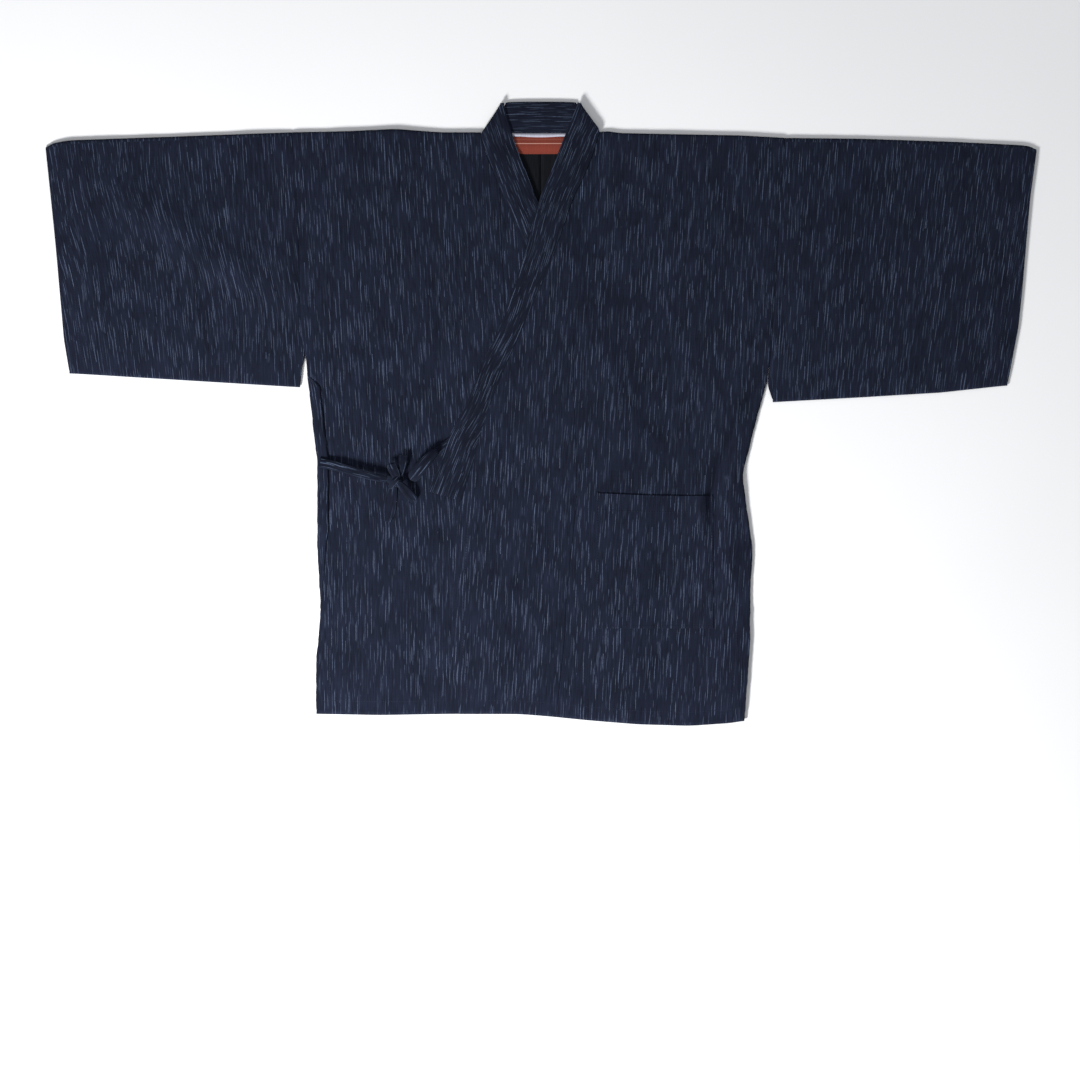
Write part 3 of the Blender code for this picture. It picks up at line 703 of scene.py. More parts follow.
def tape_shaded_material(cloth):
    material, tree, shader, place = start_material("white_tape")
    w = Wires(tree)
    weave = add_group(tree, node_group("plain_weave", weave_group), Cloth=place, Thread=0.0005, Crumple=0.3)
    # The tape's white is painted down to grey-blue, as the shade under the back neckband.
    tint = w.plus(w.times(weave.outputs["Tint"], 0.35), 0.65)
    tree.links.new(w.blend(1.0, tuple(cloth.tape), tint, "MULTIPLY"), shader.inputs["Base Color"])
    shader.inputs["Roughness"].default_value = 0.85
    bump(tree, shader, weave.outputs["Height"], 0.0003, 0.5)
    return material


def thread_material(cloth):
    """Twisted sewing thread."""
    material = bpy.data.materials.get("sewing_thread")
    if material:
        return material
    material, tree, shader, _ = start_material("sewing_thread")
    w = Wires(tree)
    place = tree.nodes.new("ShaderNodeTexCoord").outputs["Object"]
    twist = w.noise(place, 2600.0, 1.0)
    colour_at = w.blend(twist, tuple(cloth.thread), (0.035, 0.042, 0.075, 1.0))
    tree.links.new(colour_at, shader.inputs["Base Color"])
    shader.inputs["Roughness"].default_value = 0.6
    bump(tree, shader, twist, 0.0002, 0.6)
    return material


# ---------------------------------------------------------------- neckband edges, which the panels follow
BAND_STEPS = 9


def band_columns(band):
    return {name: curve_through(values, BAND_STEPS) for name, values in band.items()}


def seam_out(band, side):
    """Distance out of a neckband's seam edge over its drop below the shoulder line."""
    columns = band_columns(band)
    keep = columns["seam_y"] < 8
    return dict(down=-columns["seam_y"][keep], out=columns["seam_x"][keep] * side)


def panel_edge(band, side, down):
    """Inner edge of a front: beside the neckband, then along the okumi's seam."""
    beside = read(seam_out(band, side), down) + 0.14
    below = read(OKUMI_SEAM, down, 14) + SEAM / 2
    return np.where(np.asarray(down) < OKUMI_TOP, beside, np.maximum(below, beside))


# ---------------------------------------------------------------- body halves
def seam_ends(down, reach):
    """1 along the side seam, easing to 0 at the armpit and at the slit."""
    return smooth((down - SEAM_TOP) / reach) * smooth((SLIT_TOP - down) / reach)


def turned_width(down):
    """Width of the back that shows on the front at the right side: it narrows to the slit."""
    return (WRAP + (3.0 - WRAP) * smooth((down - 480) / 110)) * seam_ends(down, 19)


def waver(place, seed, amount=0.45):
    """Small unevenness of a cloth edge along its length."""
    rng = np.random.default_rng(seed)
    place = np.asarray(place, float)
    return amount * sum(np.sin(place * 6.28 / span + rng.random() * 6.28) * (0.4 + 0.6 * rng.random())
                        for span in (11.0, 17.0, 29.0, 47.0)) / 2


def side_groove(down):
    """How much of the side seam's groove there is: less of it towards the slit."""
    return seam_ends(down, 20) * (1 - 0.7 * smooth((down - 470) / 80))


class BodyHalf:
    """One length of cloth: up the front, over the shoulder, down the back, with its side fold.

    Either the front turns under at the side (front_turns), or the back comes round on top of it.
    """

    def __init__(self, side, side_edge, shoulder, band, level, cloth, front_turns):
        self.side, self.shoulder, self.level, self.cloth = side, shoulder, level, cloth
        self.front_turns = front_turns
        self.places = shares(PANEL_WIDE, COLUMN)
        downs = np.concatenate((np.linspace(FIRST_ROW, SEAM_TOP, 62),
                                np.linspace(SEAM_TOP, SLIT_TOP, 64)[1:],
                                np.linspace(SLIT_TOP, LENGTH, 30)[1:]))
        self.downs = downs
        self.closed = (downs >= SEAM_TOP) & (downs <= SLIT_TOP)
        edge = read(side_edge, -spot(side * read(side_edge, downs, 7), downs, shoulder), 7)
        edge = edge + waver(downs, 3 + side) * smooth((downs - 285) / 30)
        self.lap_width, self.reach = turned_width(downs) + SEAM, SIDE_FOLD * seam_ends(downs, 12)
        seamed, folded = edge - self.lap_width * self.closed, edge - self.reach
        self.front_out, back_out = (folded, seamed) if front_turns else (seamed, folded)
        self.back_out = back_out - SLIT_GAP * smooth((downs - SLIT_TOP) / 14)
        self.neck_in = panel_edge(band, side, downs)

    def rows(self, inner, outer, shorter=0.0):
        x = self.side * (inner[:, None] + (outer - inner)[:, None] * self.places[None, :])
        return x, spot(x, np.repeat(self.downs[:, None], len(self.places), 1), self.shoulder, shorter)

    def front(self):
        x, y = self.rows(self.neck_in, self.front_out)
        down = self.downs[:, None]
        from_side = self.front_out[:, None] - np.abs(x)
        z = self.level(x, y, self.cloth) + seam_dip(np.abs(x) - self.neck_in[:, None], 0.12)
        z = z + seam_dip(from_side, 0.6, 3.0) * (1 - smooth((down - 270) / 20))
        if not self.front_turns:
            z = z + seam_dip(from_side, 1.6, 3.2) * side_groove(down)
        return x, y, z

    def shoulder_fold(self, x, y, z):
        """Rows from the front's top row over the shoulder to the back's."""
        turns = np.linspace(0, math.pi, FOLD_ROWS + 1)[1:, None]
        fold_y = y + FIRST_ROW - SHOULDER_FOLD * (1 - np.sin(turns))
        fold_z = (z + Z_BACK) / 2 + (z - Z_BACK) / 2 * np.cos(turns)
        return np.repeat(x[None, :], len(turns), 0), fold_y, fold_z

    def back(self):
        x, y = self.rows(np.full_like(self.downs, self.neck_in[0]), self.back_out, BACK_SHORTER)
        return x, y, back_height(x, y)

    def strip(self):
        """Front, shoulder fold and back as one grid, with the cloth's length measured along it."""
        front = self.front()
        fold = self.shoulder_fold(*(part[0] for part in front))
        front_up = tuple(part[::-1] for part in front)
        x, y, z = (np.concatenate(parts) for parts in zip(front_up, fold, self.back()))
        middle = 30
        walk = np.cumsum(np.hypot(np.diff(y[:, middle], prepend=y[0, middle]),
                                  np.diff(z[:, middle], prepend=z[0, middle])))
        u = x.copy()
        u[:len(self.downs)] = warp_out(self.side, front[0], front[1])[::-1]
        return grid_of(x, y, z, u=u, v=np.repeat(walk[:, None], x.shape[1], 1) - LENGTH)

    def behind_neck(self, strip):
        """The back between the neckband's foot and the centre-back seam."""
        places = np.linspace(0, 1, 16)
        rows = len(self.downs)
        last_fold = rows + FOLD_ROWS - 1
        x = np.repeat(self.side * self.neck_in[0] * (1 - places)[None, :], rows, 0)
        y = spot(x, np.repeat(self.downs[:, None], len(places), 1), self.shoulder, BACK_SHORTER)
        top_y = np.where(places == 0, strip["y"][last_fold, 0], -SEAM)
        x, y = np.vstack((x[:1], x)), np.vstack((top_y[None, :], y))
        z = back_height(x, y)
        z[0, 0] = strip["z"][last_fold, 0]
        return grid_of(x, y, z, v=np.repeat(strip["v"][last_fold:, :1], len(places), 1))

    def side_lap(self, strip):
        """The fold round the side and the lap beyond it, to the seam with the other layer."""
        rows, closed, side = len(self.downs), self.closed, self.side
        owner = slice(rows - 1, None, -1) if self.front_turns else slice(-rows, None)
        x, y, z, v = (strip[key][owner][closed][:, -1] for key in ("x", "y", "z", "v"))
        reach, groove = self.reach[closed], side_groove(self.downs[closed])
        run = np.maximum(self.lap_width[closed] - 2 * SEAM - reach, 0.12)
        far = np.full_like(x, Z_BACK) if self.front_turns else self.level(x, y, self.cloth)
        columns = []
        for turn in np.linspace(0, math.pi, 7):
            swing = side * reach * math.sin(turn)
            columns.append((x + swing, y, (z + far) / 2 + (z - far) / 2 * math.cos(turn), turn * 1.2))
        for share in (0.2, 0.45, 0.65, 0.8, 0.9, 1.0):
            lap_x, lap_z = x - side * run * share, far
            if not self.front_turns:
                proud = LAP_PROUD * smooth(share / 0.6) - 0.35 * smooth((share - 0.8) / 0.2)
                lap_z = self.level(lap_x, y, self.cloth) + proud * groove
            columns.append((lap_x, y, lap_z, 3.8 + 10 * share))
        if not self.front_turns:
            tuck_x = x - side * (run + SEAM + 0.8)
            columns.append((tuck_x, y, self.level(tuck_x, y, self.cloth) - 1.3 - 0.9 * groove, 15.0))
        grid = [np.stack([column[k] for column in columns], 1) for k in range(3)]
        start = warp_out(side, x, y) if self.front_turns else np.full_like(x, side * 300.0)
        u = start[:, None] + side * np.asarray([column[3] for column in columns])[None, :]
        return grid_of(*grid, u=u, v=np.repeat(v[:, None], len(columns), 1))

    def piece(self, name, node, **lies):
        strip = self.strip()
        grids = [strip, self.behind_neck(strip), self.side_lap(strip)]
        piece = sew(name, grids, self.cloth.wall, both_sides(self.cloth))
        place_piece(piece, "kasuri_cotton", node)


class JINBEI_OT_body(bpy.types.Operator):
    """Both body halves, each one length from the front hem over the shoulder to the back hem"""
    bl_idname = "jinbei.body"
    bl_label = "Body halves"

    def execute(self, context):
        cloth = context.scene.jinbei_cloth
        right = BodyHalf(-1, SIDE_RIGHT, SHOULDER_RIGHT, BAND_RIGHT, right_height, cloth, False)
        right.piece("right_body_cotton", "body_right")
        left = BodyHalf(1, SIDE_LEFT, SHOULDER_LEFT, BAND_LEFT, left_height, cloth, True)
        left.piece("left_body_cotton", "body_left", rests_on=["right_body_cotton"])
        return {"FINISHED"}


# ---------------------------------------------------------------- okumi
def okumi(name, node, side, band, shoulder, level, cloth, **lies):
    """The overlap panel: a wedge beside the neckband, then a straight free edge down to the hem."""
    downs = np.concatenate((np.linspace(OKUMI_TOP + 0.3, 460, 80), np.linspace(460, LENGTH, 58)[1:]))
    seam = read(OKUMI_SEAM, downs, 14) - SEAM / 2
    free = np.where(downs < 460, read(seam_out(band, side), downs) + 0.14,
                    read(FRONT_EDGE, np.maximum(downs, 460), 4))
    free = np.minimum(free, seam - 0.3)
    places = shares(OKUMI_WIDE, COLUMN)
    x = side * (seam[:, None] + (free - seam)[:, None] * places[None, :])
    y = spot(x, np.repeat(downs[:, None], len(places), 1), shoulder)
    width = np.abs(seam - free)[:, None]
    from_seam, from_free = width * places[None, :], width * (1 - places[None, :])
    z = level(x, y, cloth) + seam_dip(from_seam, 0.12)
    z = z + seam_dip(from_free, 0.3) * (downs[:, None] < 460)
    grids = [grid_of(x, y, z, u=warp_out(side, x, y) + 700.0, v=y + 130.0)]
    piece = sew(name, grids, cloth.wall, both_sides(cloth))
    place_piece(piece, "kasuri_cotton", node)


class JINBEI_OT_okumi(bpy.types.Operator):
    """The two overlap panels between the fronts and the neckband"""
    bl_idname = "jinbei.okumi"
    bl_label = "Okumi panels"

    def execute(self, context):
        cloth = context.scene.jinbei_cloth
        okumi("right_okumi_cotton", "okumi_right", -1, BAND_RIGHT, SHOULDER_RIGHT, right_height, cloth)
        okumi("left_okumi_cotton", "okumi_left", 1, BAND_LEFT, SHOULDER_LEFT, left_height, cloth,
              rests_on=["right_okumi_cotton"])
        return {"FINISHED"}


# ---------------------------------------------------------------- sleeves
def ridge_pinch(x, y):
    """How far the right sleeve's long ridge draws the warp aside."""
    x0, y0, x1, y1 = -560.0, -46.0, -316.0, -222.0
    length = math.hypot(x1 - x0, y1 - y0)
    run_x, run_y = (x1 - x0) / length, (y1 - y0) / length
    travel = ((x - x0) * run_x + (y - y0) * run_y) / length
    away = (x - x0) * run_y - (y - y0) * run_x
    return 9.0 * np.tanh(away / 28) * smooth(travel / 0.25) * smooth((1.1 - travel) / 0.3)


def sleeve(name, side, top, foot, armhole, cuff, cloth, start):
    """A wide flat tube: folded along the top, sewn along the foot, open at the armhole and the cuff."""
    places = shares(SLEEVE_LONG, COLUMN)
    outer = list(top.values())[0]
    foot_out = foot["out"]

    def lay(fall, y_shift=0.0):
        top_y = read(top, outer[0] + (outer[-1] - outer[0]) * places, 5)
        foot_y = read(foot, foot_out[0] + (foot_out[-1] - foot_out[0]) * places, 5)
        down = -(top_y + (foot_y - top_y) * fall)
        x = read(armhole, down, 5) + SEAM + (read(cuff, down, 4) - read(armhole, down, 5) - SEAM) * places
        y = read(top, x, 5) * (1 - fall) + read(foot, x, 5) * fall
        return side * x, y + y_shift

    def crown(x, y, fall):
        height = Z_FRONT + relief(x, y, cloth)
        near = places * SLEEVE_LONG
        settle = 1.0 * (1 - smooth((SLEEVE_LONG - near) / 24))
        settle = settle + 0.5 * (1 - smooth(fall * 12)) + 0.6 * (1 - smooth((1 - fall) * 12))
        return height - settle + seam_dip(near) * (fall < 0.9)

    falls = np.concatenate((np.linspace(0.014, 0.06, 5), np.linspace(0.06, 0.94, 62)[1:-1],
                            np.linspace(0.94, 0.986, 5)))
    turns = np.linspace(0, math.pi, 9)
    rows = []
    for fall in falls:
        x, y = lay(fall)
        rows.append((x, y, crown(x, y, fall)))
    for turn in turns:
        x, y = lay(1.0, 3.0 * (1 - math.sin(turn)))
        high = crown(x, y, 1.0)
        rows.append((x, y, (high + Z_BACK) / 2 + (high - Z_BACK) / 2 * math.cos(turn)))
    for fall in falls[::-1]:
        x, y = lay(fall)
        rows.append((x, y, back_height(x, y)))
    for turn in turns:
        x, y = lay(0.0, -3.0 * (1 - math.sin(turn)))
        high = crown(x, y, 0.0)
        rows.append((x, y, (high + Z_BACK) / 2 - (high - Z_BACK) / 2 * math.cos(turn)))
    rows.append(rows[0])
    x, y, z = (np.asarray([row[k] for row in rows]) for k in range(3))
    middle = len(places) // 2
    walk = np.cumsum(np.hypot(np.diff(y[:, middle], prepend=y[0, middle]),
                              np.diff(z[:, middle], prepend=z[0, middle])))
    u = x - side * (0.05 + 0.11 * places[None, :]) * y
    if side < 0:
        u = u - ridge_pinch(x, y)
    grids = [grid_of(x, y, z, u=u + start, v=-np.repeat(walk[:, None], len(places), 1) + start)]
    return sew(name, grids, cloth.wall, both_sides(cloth)), grids


class JINBEI_OT_sleeves(bpy.types.Operator):
    """Both wide straight sleeves"""
    bl_idname = "jinbei.sleeves"
    bl_label = "Sleeves"

    def execute(self, context):
        cloth = context.scene.jinbei_cloth
        for name, node, side, top, foot, armhole, cuff, start in (
                ("right_sleeve_cotton", "sleeve_right", -1, TOP_RIGHT, FOOT_RIGHT, ARMHOLE_RIGHT,
                 CUFF_RIGHT, 1500.0),
                ("left_sleeve_cotton", "sleeve_left", 1, TOP_LEFT, FOOT_LEFT, ARMHOLE_LEFT,
                 CUFF_LEFT, 2300.0)):
            piece, grids = sleeve(name, side, top, foot, armhole, cuff, cloth, start)
            place_piece(piece, "kasuri_cotton", node)
        return {"FINISHED"}


# ---------------------------------------------------------------- neckband
def side_band(name, band, side, cloth, start):
    columns = band_columns(band)
    places = shares(BAND_WIDE, BAND_COLUMN, edge=(0.0, 0.7, 1.6, 3.0))


    def across(free, seam):
        return columns[free][:, None] + (columns[seam] - columns[free])[:, None] * places[None, :]
    x, y = across("free_x", "seam_x"), across("free_y", "seam_y")
    crown = 0.5 * (1 - (2 * places - 1) ** 2)[None, :]
    curl = 0.9 * smooth((-y - 405) / 50) * (1 - places[None, :]) * (side > 0)
    z = columns["height"][:, None] + crown + curl + relief(x, y, cloth)
    z = z + seam_dip((1 - places[None, :]) * BAND_WIDE, 0.8, 3.0) * (y < 0)
    z = z + seam_dip(places[None, :] * BAND_WIDE, 0.35, 1.6)
    run = np.stack((np.gradient(columns["free_x"]), np.gradient(columns["free_y"])), 1)
    walk = np.cumsum(np.hypot(run[:, 0], run[:, 1]))
    run /= np.hypot(run[:, 0], run[:, 1])[:, None]
    over_x = columns["seam_x"] - columns["free_x"]
    over_y = columns["seam_y"] - columns["free_y"]
    ahead = over_x * run[:, 0] + over_y * run[:, 1]
    width = np.abs(over_x * run[:, 1] - over_y * run[:, 0])
    u, v = width[:, None] * places[None, :], walk[:, None] + ahead[:, None] * places[None, :]
    grids = [grid_of(x, y, z, u=u + start, v=start - v)]
    return sew(name, grids, cloth.band_wall, (band_material(cloth),), rim=0.0006), grids


def back_band(cloth):
    places, falls = np.linspace(-1, 1, 60), np.linspace(0, 1, 18)
    half = BAND_BACK_TOP_HALF + (BAND_BACK_FOOT_HALF - BAND_BACK_TOP_HALF) * falls
    x = half[:, None] * places[None, :]
    bow = 0.8 * places[None, :] ** 4
    y = (BAND_TOP - bow) + (SEAM - BAND_TOP + bow) * falls[:, None]
    z = 1.25 + 0.7 * np.sin(np.pi * falls)[:, None] + 0.25 * ripple(x, y, 5)
    u = np.repeat(falls[:, None] * BAND_WIDE, len(places), 1) + 3100.0
    grids = [grid_of(x, y, z, u=u, v=np.repeat(x[:1], len(falls), 0))]
    return sew("back_neckband_cotton", grids, cloth.band_wall, (band_material(cloth),), rim=0.0006), grids


class JINBEI_OT_neckband(bpy.types.Operator):
    """The neckband's three stretches: behind the neck and down each front"""
    bl_idname = "jinbei.neckband"
    bl_label = "Neckband"

    def execute(self, context):
        cloth = context.scene.jinbei_cloth
        back, grids = back_band(cloth)
        place_piece(back, "neckband_cotton", "neckband_back")
        for name, node, band, side, start in (
                ("right_neckband_cotton", "neckband_right", BAND_RIGHT, -1, 3300.0),
                ("left_neckband_cotton", "neckband_left", BAND_LEFT, 1, 3500.0)):
            piece, grids = side_band(name, band, side, cloth, start)
            place_piece(piece, "neckband_cotton", node)
        return {"FINISHED"}


# ---------------------------------------------------------------- pocket, label, tape
def pocket_spot(across, fall):
    x = POCKET["left"] + (POCKET["right"] - POCKET["left"]) * across
    top = POCKET["top"] + (POCKET["top_right"] - POCKET["top"]) * across - 1.2 * np.sin(np.pi * across)
    return x, top + (POCKET["foot"] - top) * fall


def pocket_height(x, y, across, fall, cloth):
    """The pocket lies on the front; its sewn edges hug it and its mouth stands a little open."""
    edge = np.minimum(np.minimum(across, 1 - across) * POCKET_WIDE, (1 - fall) * POCKET_DEEP)
    mouth = (1 - smooth(fall * POCKET_DEEP / 30)) * smooth(edge / 20)
    return left_height(x, y, cloth) + 0.80 + 0.30 * smooth(edge / 12) + 0.35 * mouth


class JINBEI_OT_pocket(bpy.types.Operator):
    """The patch pocket on the left front"""
    bl_idname = "jinbei.pocket"
    bl_label = "Pocket"

    def execute(self, context):
        cloth = context.scene.jinbei_cloth
        across, fall = np.meshgrid(shares(POCKET_WIDE, POCKET_COLUMN), shares(POCKET_DEEP, POCKET_COLUMN))
        x, y = pocket_spot(across, fall)
        z = pocket_height(x, y, across, fall, cloth)
        grids = [grid_of(x, y, z, u=warp_out(1, x, y) + 4100.0, v=y + 77.0)]
        piece = sew("pocket_cotton", grids, cloth.wall * 0.6, both_sides(cloth), rim=0.0003)
        place_piece(piece, "kasuri_cotton", "pocket")
        return {"FINISHED"}


class JINBEI_OT_label(bpy.types.Operator):
    """The blank woven label and the white tape at the back of the neck"""
    bl_idname = "jinbei.label"
    bl_label = "Label and tape"

    def execute(self, context):
        cloth = context.scene.jinbei_cloth
        places, falls = np.linspace(0, 1, 40), np.linspace(0, 1, 30)
        depth = LABEL["top"] - LABEL["foot"]
        drop = np.clip((falls * depth - (depth - LABEL["corner"])) / LABEL["corner"], 0, 1)
        inset = LABEL["corner"] * (1 - np.sqrt(1 - drop ** 2 * 0.999)) * 0.9
        left, right = LABEL["left"] + inset, LABEL["right"] - inset
        x = left[:, None] + (right - left)[:, None] * places[None, :]
        y = LABEL["top"] - depth * falls[:, None]
        z = 1.75 + 0.9 * np.sin(np.pi * falls)[:, None] ** 2 + 0.25 * np.sin(x / 9.0)
        label = sew("blank_neck_label", [grid_of(x, y, z)], 0.0005, (label_material(cloth),), rim=0.00012)
        place_piece(label, "label_weave", "neck_label")

        falls = np.linspace(0, 1, 8)
        x = TAPE["left"] + (TAPE["right"] - TAPE["left"]) * places[None, :]
        lens = 0.35 + 0.65 * np.sin(np.pi * np.clip(places, 0.02, 0.98)) ** 0.5
        foot = TAPE["top"] + (TAPE["foot"] - TAPE["top"]) * np.maximum(lens, 0.8)
        y = TAPE["top"] + (foot[None, :] - TAPE["top"]) * falls[:, None]
        z = 2.0 + 0.9 * np.sin(np.pi * falls)[:, None]
        tape = sew("neck_tape_white", [grid_of(x, y, z)], 0.0005, (tape_shaded_material(cloth),), rim=0.00012)
        place_piece(tape, "white_tape", "neck_tape")
        return {"FINISHED"}


# ---------------------------------------------------------------- ties
TIE_SECTION = 18        # points round a tie
TIE_STEPS = 10          # rings between two rows of a tie's table

# Each tie: its places, width and height of its middle, its thickness, its lengthwise folds as
# (place across from -1 to 1, depth) and whether its ends are rounded off.
TIES = {
    "side_tie": dict(
        node="tie_side", x=(-276.8, -262, -240, -218, -202, -190),
        y=(-412, -415, -421, -427.5, -431.5, -434),
        width=(12.2, 12.0, 11.4, 10.0, 9.0, 8.0), height=(5.6, 7.6, 9.4, 10.4, 10.8, 10.2),
        thick=2.8, folds=((-0.15, 1.0), (0.62, 0.5)), round_ends=(False, True)),
    "collar_tie": dict(
        node="tie_collar", x=(-108.0, -115, -122, -130, -138, -146),
        y=(-380.5, -386.5, -392, -398.5, -405, -412),
        width=(9.6, 9.4, 9.2, 9.8, 10.4, 11), height=(4.8, 4.9, 6.2, 8.0, 9.2, 10.0),
        thick=1.4, folds=((0.0, 0.3), (-0.75, 0.3), (0.75, 0.3)), round_ends=(False, True)),
    "collar_loop": dict(
        node="loop_collar", x=(-128.5, -135, -142, -150, -157, -162.5),
        y=(-396, -402.5, -410, -419, -427.5, -434),
        width=(9.0, 12.0, 14.4, 15.4, 15.0, 11.0), height=(10.2, 12.4, 13.6, 13.8, 13.0, 10.6),
        thick=3.4, folds=((-0.74, 0.6), (0.74, 0.6), (0.12, 0.35)), round_ends=(True, True)),
    "upper_tail": dict(
        node="tail_up", x=(-171.5, -171.8, -172.4, -173.6, -176),
        y=(-402.5, -409, -416, -423, -430),
        width=(11.5, 11.0, 9.4, 7.2, 6.0), height=(8.6, 10.2, 11.2, 11.2, 10.0),
        thick=1.6, folds=((0.25, 0.4),), round_ends=(False, True)),
    "upper_loop": dict(
        node="loop_up", x=(-188.0, -186.4, -183.5, -180.5, -178),
        y=(-413.0, -416.5, -422, -428, -433),
        width=(8.4, 12.0, 12.6, 10.6, 7.5), height=(9.6, 11.6, 12.8, 12.8, 11.6),
        thick=3.2, folds=((-0.1, 1.3), (-0.72, 0.5), (0.55, 0.4)), round_ends=(True, True)),
    "lower_loop": dict(
        node="tail_right", x=(-178.5, -173.5, -168, -162, -156.5),
        y=(-437, -441.5, -447.5, -454, -460.5),
        width=(7.5, 9.8, 11.6, 12.0, 10.0), height=(11.4, 11.6, 10.8, 9.4, 7.6),
        thick=3.4, folds=((0.12, 1.6), (-0.7, 0.4)), round_ends=(True, True)),
    "lower_tail": dict(
        node="tail_down", x=(-183.5, -186, -187.6, -188.4, -189.6, -191.4),
        y=(-438, -449, -459, -468, -477, -486),
        width=(9.0, 12.6, 15.0, 15.6, 13.4, 9.4), height=(8.0, 5.6, 4.8, 4.5, 4.4, 4.4),
        thick=1.1, folds=((0.0, 0.15),), round_ends=(True, False)),
}
# The knot: what is pulled together at its middle, and the turn of cloth round it.
KNOT_HEART = dict(x=-183.0, y=-434.5, z=8.6, length=22.0, width=15.0, height=9.6, turn=-24.0)
KNOT_TURN = dict(
    x=(-189.0, -187.2, -184.4, -181.0, -177.6, -175.0),
    y=(-444.0, -442.0, -438.6, -435.0, -431.4, -429.6),
    width=(6.0, 6.6, 7.2, 7.2, 6.8, 6.0), height=(7.0, 10.8, 13.6, 14.4, 12.8, 8.6),
    thick=2.8, folds=((-0.35, 0.6), (0.4, 0.55)), round_ends=(True, True))


def tie_grid(tie, start, cloth):
    """A pressed tube of cloth along a route: rings of points, softly folded along its length."""
    x, y, width, height = (curve_through(tie[key], TIE_STEPS) for key in ("x", "y", "width", "height"))
    run = np.stack((np.gradient(x), np.gradient(y)), 1)
    run /= np.linalg.norm(run, axis=1)[:, None]
    share = np.linspace(0, 1, len(x))
    blunt = np.ones_like(x)
    if tie["round_ends"][0]:
        blunt *= np.sqrt(np.clip(1 - (1 - np.clip(share / 0.10, 0, 1)) ** 2, 0.02, 1))
    if tie["round_ends"][1]:
        blunt *= np.sqrt(np.clip(1 - (1 - np.clip((1 - share) / 0.10, 0, 1)) ** 2, 0.02, 1))
    turns = np.linspace(0, 2 * math.pi, TIE_SECTION + 1)
    wide = np.sign(np.cos(turns)) * np.abs(np.cos(turns)) ** 0.75
    tall = np.sign(np.sin(turns)) * np.abs(np.sin(turns)) ** 0.9
    lift = tall * tie["thick"] / 2
    for place, depth in tie["folds"]:
        lift = lift - depth * np.exp(-((wide - place) / 0.22) ** 2) * (tall > 0)
    across = width[:, None] / 2 * blunt[:, None] * wide[None, :]
    wobble = 0.25 * np.sin(share * 19 + start)[:, None] * wide[None, :]
    gx = x[:, None] - run[:, 1:2] * across
    gy = y[:, None] + run[:, 0:1] * across
    gz = height[:, None] + lift[None, :] * (0.35 + 0.65 * blunt[:, None]) + wobble
    gz = gz + np.clip(relief(x, y, cloth), -0.3, None)[:, None]
    walk = np.cumsum(np.hypot(np.diff(x, prepend=x[0]), np.diff(y, prepend=y[0])))
    u = np.repeat((turns * tie["width"][1] / 3.0)[None, :], len(x), 0) + start
    return grid_of(gx, gy, gz, u=u, v=np.repeat(walk[:, None], TIE_SECTION + 1, 1) + start)


def tube(name, grids, cloth):
    """Tubes with closed ends, as one piece of the neckband's cloth."""
    return weld(name, grids, (band_material(cloth),), 0.002 * MM, closed=True)


def knot_heart():
    """The gathered middle of the knot, a soft lump with pleats that run into it."""
    turn = math.radians(KNOT_HEART["turn"])
    around, up = np.meshgrid(np.linspace(0, 2 * math.pi, 41), np.linspace(-math.pi / 2, math.pi / 2, 21))
    pleat = 1 + 0.07 * np.sin(around * 7 + 0.6) * np.cos(up)
    lx = np.cos(up) ** 0.8 * np.cos(around) * KNOT_HEART["length"] / 2 * pleat
    ly = np.cos(up) ** 0.8 * np.sin(around) * KNOT_HEART["width"] / 2 * pleat
    lz = np.sin(up) * KNOT_HEART["height"] / 2
    x = KNOT_HEART["x"] + lx * math.cos(turn) - ly * math.sin(turn)
    y = KNOT_HEART["y"] + lx * math.sin(turn) + ly * math.cos(turn)
    return grid_of(x, y, KNOT_HEART["z"] + lz, u=around * 8 + 5200.0, v=up * 9)


class JINBEI_OT_ties(bpy.types.Operator):
    """The side tie, the collar tie and their knot, with its loops and tails"""
    bl_idname = "jinbei.ties"
    bl_label = "Ties and knot"

    def execute(self, context):
        cloth = context.scene.jinbei_cloth
        for number, (name, tie) in enumerate(TIES.items()):
            piece = tube(name, [tie_grid(tie, 4300.0 + 90 * number, cloth)], cloth)
            place_piece(piece, "neckband_cotton", tie["node"])
        knot = tube("knot_of_ties", [knot_heart(), tie_grid(KNOT_TURN, 5100.0, cloth)], cloth)
        place_piece(knot, "neckband_cotton", "knot")
        return {"FINISHED"}


# ---------------------------------------------------------------- stitches
def stitch_row(verts, faces, route, height, pitch, length, girth):
    """Adds one small thread grain after another along a route of (x, y) points."""
    route = np.asarray(route, float)
    walk = np.concatenate(([0], np.cumsum(np.hypot(*np.diff(route, axis=0).T))))
    at = np.arange(pitch, walk[-1] - length, pitch)
    first, last = (np.stack([np.interp(at + step, walk, route[:, k]) for k in (0, 1)], 1)
                   for step in (0.0, length))
    middle = (first + last) / 2
    run = (last - first) / length
    across = np.stack((-run[:, 1], run[:, 0]), 1)
    level = height(middle[:, 0], middle[:, 1])
    for centre, forward, side, z in zip(middle, run, across, level):
        base = len(verts)
        for share, size, sink in ((-0.5, 0.35, -0.35), (-0.25, 1, 0), (0.25, 1, 0), (0.5, 0.35, -0.35)):
            for turn in range(6):
                angle = turn * math.pi / 3
                point = centre + forward * share * length + side * math.cos(angle) * girth / 2 * size
                verts.append((point[0] * MM + ORIGIN_X, point[1] * MM + ORIGIN_Y,
                              (z + sink * girth + math.sin(angle) * girth / 2 * size) * MM))
        for ring in range(3):
            for turn in range(6):
                a, b = base + ring * 6 + turn, base + ring * 6 + (turn + 1) % 6
                faces.append((a, b, b + 6, a + 6))
        faces.append(tuple(base + turn for turn in reversed(range(6))))
        faces.append(tuple(base + 18 + turn for turn in range(6)))


